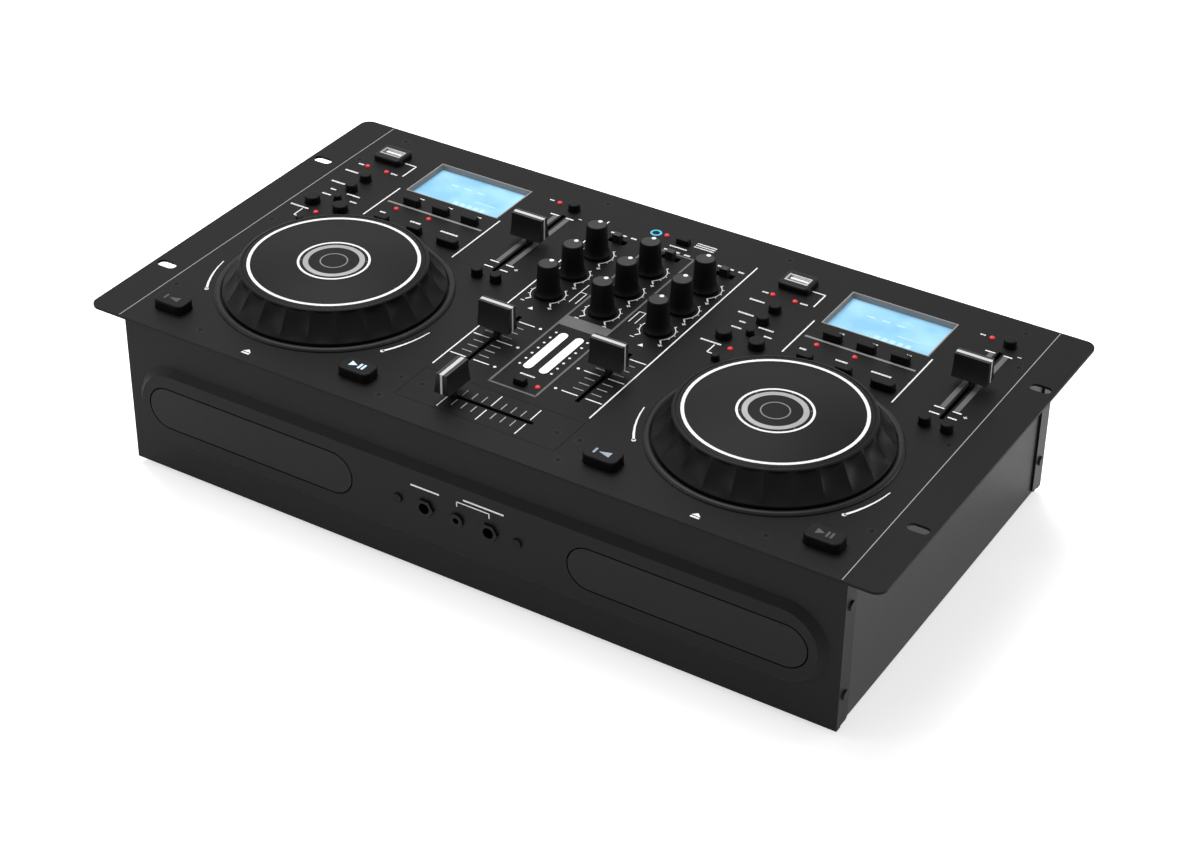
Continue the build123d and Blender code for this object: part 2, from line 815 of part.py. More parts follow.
# ---------------------------------------------------------------------- lamps
with BuildPart() as indicator_lamps:
    with BuildSketch(Plane.XY.offset(board_top)):
        with Locations(*lamp_places()):
            Circle(lamp_radius)
    extrude(amount=board_drop + lamp_proud)
    domes = indicator_lamps.faces().filter_by(Axis.Z).filter_by(lambda face: face.center().Z > plate_top)
    fillet(domes.edges(), radius=lamp_fillet)
indicator_lamps.part.label = "indicator_lamps"
export_step(indicator_lamps.part, "parts/indicator_lamps.step")

# -------------------------------------------------- potentiometers and faders
# Each slide control: centre, whether it lies along X, and its slot length
fader_places = {
    "channel_left": (-channel_x, channel_y, False, channel_slot),
    "channel_right": (channel_x, channel_y, False, channel_slot),
    "cross": (0.0, cross_y, True, cross_slot),
    "pitch_a": (-deck_offset + pitch_x, pitch_y, False, pitch_slot),
    "pitch_b": (deck_offset + pitch_x, pitch_y, False, pitch_slot),
}
with BuildPart() as control_pots:
    with BuildSketch(Plane.XY.offset(board_top)):
        with Locations(*knob_places().values()):
            Rectangle(pot_side, pot_side)
    extrude(amount=pot_height)
    with BuildSketch(Plane.XY.offset(board_top + pot_height)):
        with Locations(*knob_places().values()):
            Circle(bush_radius)
    extrude(amount=board_drop - pot_height + plate_thickness)
    with BuildSketch(Plane.XY.offset(board_top + pot_floor)):
        with Locations(*knob_places().values()):
            Circle(shaft_radius + running_gap)
    extrude(amount=board_drop, mode=Mode.SUBTRACT)
    for x, y, along_x, slot in fader_places.values():
        turn = 0 if along_x else 90
        with BuildSketch(Plane.XY.offset(board_top)):
            with Locations(Location((x, y, 0), (0, 0, turn))):
                Rectangle(slot + 2 * fader_end_wall, fader_body_width)
        extrude(amount=fader_body_height)
        if along_x:
            # Bracket that hangs the fader on the two screws beside its slot
            with BuildSketch(Plane.XY.offset(board_top + fader_body_height)):
                with Locations((x, y)):
                    Rectangle(2 * (cross_screw_offset + cross_bracket), fader_body_width)
                with Locations(*cross_screws):
                    Circle(screw_shank, mode=Mode.SUBTRACT)
            extrude(amount=-cross_bracket_thickness)
        with BuildSketch(Plane.XY.offset(board_top + pot_floor)):
            with Locations(Location((x, y, 0), (0, 0, turn))):
                Rectangle(slot, lever_thickness + 2 * slide_gap)
        extrude(amount=fader_body_height, mode=Mode.SUBTRACT)
    with BuildSketch(Plane.XY.offset(board_top)):
        for x in source_switches.values():
            with Locations((x, source_y)):
                Rectangle(source_body_x, source_body_y)
    extrude(amount=source_body_height)
    with BuildSketch(Plane.XY.offset(board_top + pot_floor)):
        for x in source_switches.values():
            with Locations((x, source_y)):
                Rectangle(
                    source_lever_length + 2 * source_travel + 2 * slide_gap,
                    lever_thickness + 2 * slide_gap,
                )
    extrude(amount=source_body_height, mode=Mode.SUBTRACT)
control_pots.part.label = "control_pots"
export_step(control_pots.part, "parts/control_pots.step")


def make_knob(name, x, y):
    """Turned knob with a flared skirt, carried on its own shaft."""
    recess = bush_radius + knob_recess_gap
    with BuildPart() as knob:
        with BuildSketch(Plane((x, y, plate_top), x_dir=(1, 0, 0), z_dir=(0, -1, 0))):
            with BuildLine():
                Polyline((0, pot_floor - board_drop), (0, knob_height), (knob_top - knob_edge, knob_height))
                RadiusArc((knob_top - knob_edge, knob_height), (knob_top, knob_height - knob_edge), knob_edge)
                Line((knob_top, knob_height - knob_edge), (knob_top + knob_taper, knob_flare_top))
                ThreePointArc(
                    (knob_top + knob_taper, knob_flare_top),
                    (knob_top + knob_flare, knob_flare_middle),
                    (knob_skirt, knob_skirt_top),
                )
                Polyline(
                    (knob_skirt, knob_skirt_top),
                    (knob_skirt, knob_lift),
                    (recess, knob_lift),
                    (recess, knob_recess),
                    (shaft_radius, knob_recess),
                    (shaft_radius, pot_floor - board_drop),
                    (0, pot_floor - board_drop),
                )
            make_face()
        revolve(axis=Axis((x, y, 0), (0, 0, 1)))
    knob.part.label = name
    export_step(knob.part, f"parts/{name}.step")


for knob_name, (x, y) in knob_places().items():
    make_knob(f"knob_{knob_name}", x, y)

# ----------------------------------------------------------------- fader caps
def make_fader_cap(name, x, y, along_x, bottom, top, base, tip):
    """Cap with scooped faces on its flat lever; the long side lies across the slot."""
    turn = 90 if along_x else 0
    frame = Plane((x, y, plate_top), x_dir=(cos(radians(turn)), sin(radians(turn)), 0), z_dir=(0, 0, 1))
    side = Plane(frame.origin - frame.x_dir * (cap_length / 2), x_dir=frame.y_dir, z_dir=frame.x_dir)
    waist = tip / 2 + cap_waist
    middle = (bottom + top) / 2
    with BuildPart() as cap:
        with BuildSketch(side):
            with BuildLine():
                Line((-base / 2, bottom), (base / 2, bottom))
                ThreePointArc((base / 2, bottom), (waist, middle), (tip / 2, top))
                Line((tip / 2, top), (-tip / 2, top))
                ThreePointArc((-tip / 2, top), (-waist, middle), (-base / 2, bottom))
            make_face()
        extrude(amount=cap_length)
        with BuildSketch(frame.offset(bottom)):
            Rectangle(lever_thickness, lever_width)
        extrude(amount=pot_floor - board_drop - bottom)
    cap.part.label = name
    export_step(cap.part, f"parts/{name}.step")


channel_cap = (channel_cap_bottom, channel_cap_top, channel_cap_base, channel_cap_tip)
cross_cap = (channel_cap_bottom, cross_cap_top, cross_cap_base, cross_cap_tip)
pitch_cap = (pitch_cap_bottom, pitch_cap_top, pitch_cap_base, pitch_cap_tip)
make_fader_cap("channel_fader_left", -channel_x, channel_rest, False, *channel_cap)
make_fader_cap("channel_fader_right", channel_x, channel_rest, False, *channel_cap)
make_fader_cap("crossfader_cap", cross_rest, cross_y, True, *cross_cap)
for deck, deck_x in deck_centres.items():
    make_fader_cap(f"pitch_fader_{deck}", deck_x + pitch_x, pitch_y, False, *pitch_cap)

# -------------------------------------------------------------- source levers
for switch_name, x in source_switches.items():
    with BuildPart() as source_lever:
        with BuildSketch(Plane.XY.offset(plate_under)):
            with Locations((x, source_y)):
                Rectangle(source_cap_x, source_cap_y)
        extrude(amount=plate_thickness + source_cap_height)
        top_edges = source_lever.faces().sort_by(Axis.Z)[-1].edges()
        fillet(top_edges, radius=source_fillet)
        with BuildSketch(Plane.XY.offset(plate_under)):
            with Locations((x, source_y)):
                Rectangle(source_lever_length, lever_thickness)
        extrude(amount=board_top + pot_floor - plate_under)
    source_lever.part.label = f"source_switch_{switch_name}"
    export_step(source_lever.part, f"parts/source_switch_{switch_name}.step")

# ---------------------------------------------------------------- level meter
with BuildPart() as level_meter:
    with BuildSketch(Plane.XY.offset(board_top)):
        with Locations((0, bar_y)):
            Rectangle(2 * (bar_x + meter_rim) + bar_width, bar_length + 2 * meter_rim)
    extrude(amount=meter_body_height)
    with BuildSketch(Plane.XY.offset(board_top + meter_body_height)):
        for x in (-bar_x, bar_x):
            with Locations((x, bar_y)):
                Rectangle(bar_width, bar_length)
    extrude(amount=board_drop - meter_body_height)
level_meter.part.label = "level_meter"
export_step(level_meter.part, "parts/level_meter.step")


# ------------------------------------------------------------------- displays
# Display modules: framed wells whose floors are the lit screens
display_places = [(deck_x, display_y) for deck_x in deck_centres.values()]
with BuildPart() as display_modules:
    with BuildSketch(Plane.XY.offset(board_top)):
        with Locations(*display_places):
            Rectangle(display_width + 2 * display_wall, display_depth + 2 * display_wall)
    extrude(amount=plate_under - board_top)
    with BuildSketch(Plane.XY.offset(plate_under)):
        with Locations(*display_places):
            Rectangle(display_width, display_depth)
    extrude(amount=plate_thickness - display_recess, mode=Mode.SUBTRACT)
display_modules.part.label = "display_modules"
export_step(display_modules.part, "parts/display_modules.step")


# ---------------------------------------------------------------- USB sockets
# Upright sockets with raised bezels on the plate
usb_places = [(deck_x + usb_x, usb_y) for deck_x in deck_centres.values()]
with BuildPart() as usb_sockets:
    with BuildSketch(Plane.XY.offset(board_top)):
        with Locations(*usb_places):
            Rectangle(usb_body_x, usb_body_y)
    extrude(amount=board_drop)
    with BuildSketch(Plane.XY.offset(plate_top)):
        with Locations(*usb_places):
            RectangleRounded(usb_bezel_x, usb_bezel_y, usb_bezel_corner)
    extrude(amount=usb_bezel_height)
    fillet(usb_sockets.faces().group_by(Axis.Z)[-1].edges(), radius=usb_bezel_fillet)
    with BuildSketch(Plane.XY.offset(plate_top + usb_bezel_height)):
        with Locations(*usb_places):
            Rectangle(usb_cavity_x, usb_cavity_y)
    extrude(amount=-usb_depth, mode=Mode.SUBTRACT)
usb_sockets.part.label = "usb_sockets"
export_step(usb_sockets.part, "parts/usb_sockets.step")

# ---------------------------------------------------------------- front jacks
jacks = ((-jack_pitch, large_bore), (0.0, small_bore), (jack_pitch, large_bore))
plateau_back = plateau_face + sheet
with BuildPart() as front_jacks:
    with BuildSketch(Plane.XZ.offset(-plateau_back)):
        with Locations((0, tray_z)):
            Rectangle(2 * (jack_screw_offset + jack_board_x), jack_body + 2 * jack_board_z)
    extrude(amount=-board_thickness)
    with BuildSketch(Plane.XZ.offset(-plateau_back)):
        for x, _ in jacks:
            with Locations((x, tray_z)):
                Rectangle(jack_body, jack_body)
    extrude(amount=-jack_length)
    for x, bore in jacks:
        with BuildSketch(Plane.XZ.offset(-plateau_back)):
            with Locations((x, tray_z)):
                Circle(bore + jack_sleeve)
        extrude(amount=sheet)
        with BuildSketch(Plane.XZ.offset(-plateau_face)):
            with Locations((x, tray_z)):
                if bore == large_bore:
                    RegularPolygon(jack_nut, 6)
                else:
                    Circle(small_nut)
        extrude(amount=jack_nut_height)
        with BuildSketch(Plane.XZ.offset(-plateau_face + jack_nut_height)):
            with Locations((x, tray_z)):
                Circle(bore)
        extrude(amount=-(jack_nut_height + sheet + jack_length - jack_end_wall), mode=Mode.SUBTRACT)
    with BuildSketch(Plane.XZ.offset(-plateau_back)):
        with Locations((-jack_screw_offset, tray_z), (jack_screw_offset, tray_z)):
            Circle(screw_shank)
    extrude(amount=-board_thickness, mode=Mode.SUBTRACT)
front_jacks.part.label = "front_jacks"
export_step(front_jacks.part, "parts/front_jacks.step")

# --------------------------------------------------------------- rear sockets
with BuildPart() as rear_sockets:
    for x in line_places:
        with BuildSketch(Plane.XZ.offset(-rear_face + sheet)):
            with Locations((x, socket_z)):
                Rectangle(line_block, 2 * line_block)
        extrude(amount=line_block)
        for level in (-1, 1):
            with BuildSketch(Plane.XZ.offset(-rear_face + sheet)):
                with Locations((x, socket_z + level * line_pitch_z / 2)):
                    Circle(line_barrel)
            extrude(amount=-(sheet + line_proud))
            with BuildSketch(Plane.XZ.offset(-rear_face - line_proud)):
                with Locations((x, socket_z + level * line_pitch_z / 2)):
                    Circle(line_pin_hole)
            extrude(amount=line_bore_depth, mode=Mode.SUBTRACT)
    # Power inlet: a rim outside the panel and a deep socket behind it
    with BuildSketch(Plane.XZ.offset(-rear_face)):
        with Locations((inlet_x, socket_z)):
            RectangleRounded(inlet_width + 2 * inlet_rim, inlet_height + 2 * inlet_rim, trim_corner)
    extrude(amount=-trim_height)
    with BuildSketch(Plane.XZ.offset(-rear_face)):
        with Locations((inlet_x, socket_z)):
            Rectangle(inlet_width, inlet_height)
    extrude(amount=inlet_depth + inlet_wall)
    with BuildSketch(Plane.XZ.offset(-rear_face - trim_height)):
        with Locations((inlet_x, socket_z)):
            Rectangle(inlet_width - 2 * inlet_wall, inlet_height - 2 * inlet_wall)
    extrude(amount=inlet_depth, mode=Mode.SUBTRACT)
    # Housing of the power switch
    with BuildSketch(Plane.XZ.offset(-rear_face)):
        with Locations((rocker_x, socket_z)):
            Rectangle(rocker_case_width + 2 * rocker_rim, rocker_case_height + 2 * rocker_rim)
    extrude(amount=-trim_height)
    with BuildSketch(Plane.XZ.offset(-rear_face)):
        with Locations((rocker_x, socket_z)):
            Rectangle(rocker_case_width, rocker_case_height)
    extrude(amount=rocker_case_height)
    with BuildSketch(Plane.XZ.offset(-rear_face - trim_height)):
        with Locations((rocker_x, socket_z)):
            Rectangle(rocker_hole_width, rocker_hole_height)
    extrude(amount=trim_height + rocker_inset + rocker_hole_height / 2, mode=Mode.SUBTRACT)
    with Locations(Location((rocker_x, rocker_axis_y, socket_z), (0, 90, 0))):
        Cylinder(rocker_pin + running_gap, rocker_hole_width + 2 * rocker_pin_reach, mode=Mode.SUBTRACT)
rear_sockets.part.label = "rear_sockets"
export_step(rear_sockets.part, "parts/rear_sockets.step")

# Rocker: a drum segment whose face is folded along the pivot, at rest tilted to off
tilt = radians(rocker_tilt)
reach = 2 * rocker_radius
rise = rocker_fold + reach * sin(tilt)
with BuildPart() as power_rocker:
    with BuildSketch(
        Plane(
            (rocker_x - rocker_width / 2, rocker_axis_y, socket_z),
            x_dir=(0, cos(tilt), sin(tilt)),
            z_dir=(1, 0, 0),
        )
    ):
        Circle(rocker_radius)
        with BuildLine():
            Polyline(
                (rocker_fold, 0),
                (rise, reach),
                (2 * reach, reach),
                (2 * reach, -reach),
                (rise, -reach),
                close=True,
            )
        make_face(mode=Mode.SUBTRACT)
    extrude(amount=rocker_width)
    with Locations(Location((rocker_x, rocker_axis_y, socket_z), (0, 90, 0))):
        Cylinder(rocker_pin, rocker_hole_width + 2 * (rocker_pin_reach - rocker_pin_end_gap))
power_rocker.part.label = "power_rocker"
export_step(power_rocker.part, "parts/power_rocker.step")

# --------------------------------------------------------------- power supply
supply_board_top = floor_top + supply_lift + board_thickness
with BuildPart() as power_supply:
    with BuildSketch(Plane.XY.offset(floor_top)):
        with Locations((0, supply_y)):
            with GridLocations(
                supply_width - 2 * supply_post_inset, supply_depth - 2 * supply_post_inset, 2, 2
            ):
                Circle(supply_post)
    extrude(amount=supply_lift)
    with BuildSketch(Plane.XY.offset(floor_top + supply_lift)):
        with Locations((0, supply_y)):
            Rectangle(supply_width, supply_depth)
    extrude(amount=board_thickness)
    with BuildSketch(Plane.XY.offset(supply_board_top)):
        with Locations((transformer_x, supply_y)):
            Rectangle(transformer_width, transformer_depth)
    extrude(amount=transformer_height)
    with BuildSketch(Plane.XY.offset(supply_board_top)):
        with Locations((capacitor_x, supply_y)):
            with GridLocations(0, capacitor_pitch, 1, 2):
                Circle(capacitor_radius)
    extrude(amount=capacitor_height)
    with BuildSketch(Plane.XY.offset(supply_board_top)):
        with Locations((sink_x, supply_y)):
            Rectangle(sink_thickness, sink_length)
        with Locations((sink_x, supply_y)):
            with GridLocations(0, fin_pitch, 1, fin_count):
                Rectangle(fin_length, fin_thickness, align=(Align.MIN, Align.CENTER))
    extrude(amount=sink_height)
power_supply.part.label = "power_supply"
export_step(power_supply.part, "parts/power_supply.step")

# ------------------------------------------------------------ drives and trays
tray_front_back = plateau_face + tray_front_thickness
disc_y = tray_front_back + disc_front_margin + disc_well
tray_rear = tray_front_back + tray_depth
drive_front = front_face + drive_front_gap
drive_rear = tray_rear + drive_rear_gap
drive_bottom = tray_under - drive_drop
drive_inner = tray_width / 2 + drive_side_gap
drive_middle = (drive_front + drive_rear) / 2
motor_top = tray_under - motor_gap
hub_flange = tray_under + hub_lift
hub_face = hub_flange + hub_flange_thickness


def make_drive_frame(name, x):
    """Open cradle with rails for the tray, the disc motor and a clamp bridge."""
    rail_in = tray_width / 2 - rail_overlap
    with BuildPart() as drive:
        with BuildSketch(Plane.XZ.offset(-drive_front)):
            with Locations((x, drive_bottom)):
                Rectangle(2 * (drive_inner + drive_wall), drive_height, align=(Align.CENTER, Align.MIN))
            with Locations((x, drive_bottom + drive_wall)):
                Rectangle(2 * drive_inner, drive_height, align=(Align.CENTER, Align.MIN), mode=Mode.SUBTRACT)
            for side in (-1, 1):
                with Locations((x + side * (rail_in + drive_inner) / 2, tray_under - rail_thickness)):
                    Rectangle(
                        drive_inner - rail_in,
                        tray_thickness + 2 * rail_thickness + slide_gap,
                        align=(Align.CENTER, Align.MIN),
                    )
                with Locations((x + side * tray_width / 2, tray_under)):
                    Rectangle(
                        2 * (tray_width / 2 - rail_in) + 2 * rail_gap,
                        tray_thickness + slide_gap,
                        align=(Align.CENTER, Align.MIN),
                        mode=Mode.SUBTRACT,
                    )
        extrude(amount=-(drive_rear - drive_front))
        with BuildSketch(Plane.XZ.offset(-drive_rear)):
            with Locations((x, drive_bottom)):
                Rectangle(2 * (drive_inner + drive_wall), drive_height, align=(Align.CENTER, Align.MIN))
        extrude(amount=-drive_wall)
        with BuildSketch(Plane.XY.offset(drive_bottom + drive_height)):
            with Locations((x, disc_y)):
                Rectangle(2 * (drive_inner + drive_wall), bridge_depth)
        extrude(amount=drive_wall)
        with BuildSketch(Plane.XY.offset(drive_bottom + drive_height)):
            with Locations((x, disc_y)):
                Circle(hub_radius)
        extrude(amount=-clamp_drop)
        with BuildSketch(Plane.XY.offset(drive_bottom)):
            with Locations((x, disc_y)):
                Circle(hub_radius)
        extrude(amount=motor_top - drive_bottom)
        with BuildSketch(Plane.XY.offset(floor_top)):
            with Locations((x, drive_middle)):
                with GridLocations(
                    2 * (drive_inner - drive_post_x), drive_rear - drive_front - 2 * drive_post_y, 2, 2
                ):
                    Circle(drive_post_radius)
        extrude(amount=drive_bottom - floor_top)
        with BuildSketch(Plane.XY.offset(motor_top)):
            with Locations((x, disc_y)):
                Circle(hub_shaft + running_gap)
        extrude(amount=-hub_shaft_depth, mode=Mode.SUBTRACT)
    drive.part.label = name
    export_step(drive.part, f"parts/{name}.step")


def make_disc_hub(name, x):
    """Motor hub that centres and turns the disc."""
    with BuildPart() as hub:
        with BuildSketch(Plane((x, disc_y, 0), x_dir=(1, 0, 0), z_dir=(0, -1, 0))):
            with BuildLine():
                Polyline(
                    (0, motor_top - hub_shaft_depth),
                    (hub_shaft, motor_top - hub_shaft_depth),
                    (hub_shaft, motor_top),
                    (hub_neck, motor_top),
                    (hub_neck, hub_flange),
                    (hub_radius, hub_flange),
                    (hub_radius, hub_face),
                    (hub_nose, hub_face),
                    (hub_nose_tip, hub_face + hub_nose_height),
                    (0, hub_face + hub_nose_height),
                    close=True,
                )
            make_face()
        revolve(axis=Axis((x, disc_y, 0), (0, 0, 1)))
    hub.part.label = name
    export_step(hub.part, f"parts/{name}.step")


def make_tray(name, x):
    """Sliding tray with a disc well and an obround front."""
    with BuildPart() as tray:
        with BuildSketch(Plane.XZ.offset(-plateau_face)):
            with Locations((x, tray_z)):
                SlotOverall(tray_front_width, tray_front_height)
        extrude(amount=-tray_front_thickness)
        with BuildSketch(Plane.XY.offset(tray_under)):
            with Locations((x, tray_front_back)):
                Rectangle(tray_width, tray_depth, align=(Align.CENTER, Align.MIN))
            with Locations((x, disc_y)):
                Rectangle(tray_slot, tray_depth, align=(Align.CENTER, Align.MIN), mode=Mode.SUBTRACT)
                Circle(tray_slot / 2, mode=Mode.SUBTRACT)
        extrude(amount=tray_thickness)
        with BuildSketch(Plane.XY.offset(tray_under + tray_thickness)):
            with Locations((x, disc_y)):
                Circle(disc_well)
        extrude(amount=-disc_well_depth, mode=Mode.SUBTRACT)
    tray.part.label = name
    export_step(tray.part, f"parts/{name}.step")


for deck, x in tray_centres.items():
    make_drive_frame(f"drive_frame_{deck}", x)
    make_disc_hub(f"disc_hub_{deck}", x)
    make_tray(f"disc_tray_{deck}", x)
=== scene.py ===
"""Looks of the rack-top twin disc player: finishes, printing and small trim around its solids.

Everything is in metres in the solids' own frame: +X right seen from the front, +Y to the back, +Z up.
Printing and trim are written in millimetres from the middle of a deck or of the mixer.
"""

import itertools
import math

import bmesh
import bpy
from mathutils import Matrix, Vector


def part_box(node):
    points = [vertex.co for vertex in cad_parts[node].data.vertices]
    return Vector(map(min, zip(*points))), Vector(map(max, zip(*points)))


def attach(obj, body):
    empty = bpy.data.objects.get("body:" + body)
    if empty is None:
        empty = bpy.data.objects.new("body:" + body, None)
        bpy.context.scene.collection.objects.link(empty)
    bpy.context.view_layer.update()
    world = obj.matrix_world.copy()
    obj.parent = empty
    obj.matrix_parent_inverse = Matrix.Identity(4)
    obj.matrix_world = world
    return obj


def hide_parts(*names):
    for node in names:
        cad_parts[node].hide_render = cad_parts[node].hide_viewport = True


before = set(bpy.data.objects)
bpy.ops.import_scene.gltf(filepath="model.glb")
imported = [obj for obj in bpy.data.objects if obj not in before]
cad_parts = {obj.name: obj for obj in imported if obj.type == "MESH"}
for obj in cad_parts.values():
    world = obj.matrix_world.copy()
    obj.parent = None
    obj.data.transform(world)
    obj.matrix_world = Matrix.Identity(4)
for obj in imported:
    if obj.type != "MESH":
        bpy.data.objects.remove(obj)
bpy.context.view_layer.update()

MM = 0.001
# Thickness of ink, in millimetres
INK = 0.07
THICK_INK = 0.08  # on jog wheels, knobs and fader caps
SIGN_INK = 0.06  # on keys
THIN_INK = 0.03  # in screws and on screens


def middle(node):
    """The centre of a node's box."""
    low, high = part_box(node)
    return (low + high) / 2


PLATE_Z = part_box("jog_surrounds")[0].z / MM
DECK_X = {deck: middle(f"jog_wheel_{deck}").x / MM for deck in "ab"}
JOG_Y = middle("jog_wheel_a").y / MM
JOG_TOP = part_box("jog_wheel_a")[1].z / MM
TRAY_LOW, TRAY_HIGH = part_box("disc_tray_a")
FRONT_Y = TRAY_LOW.y / MM
TRAY_Z = (TRAY_LOW.z + TRAY_HIGH.z) / 2 / MM
CASE_BODY = "case"

# ------------------------------------------------------------------ materials
MOTTLE_SCALE = 38.0
MOTTLE_DETAIL = 5.0
GRAIN_DETAIL = 3.0
NOISE_RANGE = (0.3, 0.7)  # of the noise, over which colour and roughness change
ROUGHNESS_SPREAD = 0.05
SCREEN_CLOUDS = 42.0
SCREEN_CLOUD_DETAIL = 2.0
SCREEN_RANGE = (0.35, 0.65)


def srgb(levels):
    """Linear colour from one grey or three eight-bit display levels."""
    linear = []
    for level in levels if isinstance(levels, tuple) else (levels, levels, levels):
        value = level / 255
        linear.append(value / 12.92 if value <= 0.04045 else ((value + 0.055) / 1.055) ** 2.4)
    return linear


def new_material(name):
    """A material with its nodes, links and shader at hand."""
    material = bpy.data.materials.new(name)
    material.use_nodes = True
    tree = material.node_tree
    return material, tree.nodes, tree.links, tree.nodes["Principled BSDF"]


def noise(nodes, links, place, scale, detail):
    """Noise over the object's own coordinates."""
    texture = nodes.new("ShaderNodeTexNoise")
    texture.inputs["Scale"].default_value = scale
    texture.inputs["Detail"].default_value = detail
    links.new(place.outputs["Object"], texture.inputs["Vector"])
    return texture.outputs["Fac"]


def blend(nodes, links, factor, span, low, high):
    """Colour that goes from low to high over a span of the factor."""
    ramp = nodes.new("ShaderNodeValToRGB")
    for element, position, colour in zip(ramp.color_ramp.elements, span, (low, high)):
        element.position = position
        element.color = (*colour, 1)
    links.new(factor, ramp.inputs["Fac"])
    return ramp.outputs["Color"]


def surface(
    name,
    levels,
    roughness,
    grain,
    bump,
    metallic=0.0,
    mottle=0.10,
    specular=0.5,
    glow=None,
    glow_strength=0.0,
):
    """Principled material with a wide mottle in its colour and a fine grain in roughness and relief.

    Levels and glow are display levels, bump is the depth of the relief in millimetres.
    """
    material, nodes, links, shader = new_material(name)
    shader.inputs["Metallic"].default_value = metallic
    shader.inputs["Specular IOR Level"].default_value = specular
    if glow:
        shader.inputs["Emission Color"].default_value = (*srgb(glow), 1)
        shader.inputs["Emission Strength"].default_value = glow_strength
    place = nodes.new("ShaderNodeTexCoord")
    wide = noise(nodes, links, place, MOTTLE_SCALE, MOTTLE_DETAIL)
    fine = noise(nodes, links, place, grain, GRAIN_DETAIL)
    colour = srgb(levels)
    darker = [level * (1 - mottle) for level in colour]
    lighter = [level * (1 + mottle) for level in colour]
    links.new(blend(nodes, links, wide, NOISE_RANGE, darker, lighter), shader.inputs["Base Color"])
    rough = nodes.new("ShaderNodeMapRange")
    rough.inputs["From Min"].default_value = NOISE_RANGE[0]
    rough.inputs["From Max"].default_value = NOISE_RANGE[1]
    rough.inputs["To Min"].default_value = roughness - ROUGHNESS_SPREAD
    rough.inputs["To Max"].default_value = roughness + ROUGHNESS_SPREAD
    links.new(fine, rough.inputs["Value"])
    links.new(rough.outputs["Result"], shader.inputs["Roughness"])
    relief = nodes.new("ShaderNodeBump")
    relief.inputs["Strength"].default_value = 1.0
    relief.inputs["Distance"].default_value = bump * MM
    links.new(fine, relief.inputs["Height"])
    links.new(relief.outputs["Normal"], shader.inputs["Normal"])
    return material


def printing_ink(name, levels, roughness, mottle):
    """Matt ink."""
    return surface(name, levels, roughness, grain=3000, bump=0.004, mottle=mottle, specular=0.2)


def metal(name, levels, roughness, metallic=1.0):
    """Bare or plated metal."""
    return surface(name, levels, roughness, grain=900, bump=0.01, metallic=metallic)


def screen_material():
    """Lit panel: pale blue and a little cloudy."""
    material, nodes, links, shader = new_material("lit_screen")
    shader.inputs["Roughness"].default_value = 0.3
    shader.inputs["Specular IOR Level"].default_value = 0.15
    shader.inputs["Emission Strength"].default_value = 0.62
    place = nodes.new("ShaderNodeTexCoord")
    clouds = noise(nodes, links, place, SCREEN_CLOUDS, SCREEN_CLOUD_DETAIL)
    colour = blend(nodes, links, clouds, SCREEN_RANGE, srgb((116, 165, 194)), srgb((141, 186, 212)))
    links.new(colour, shader.inputs["Base Color"])
    links.new(colour, shader.inputs["Emission Color"])
    return material


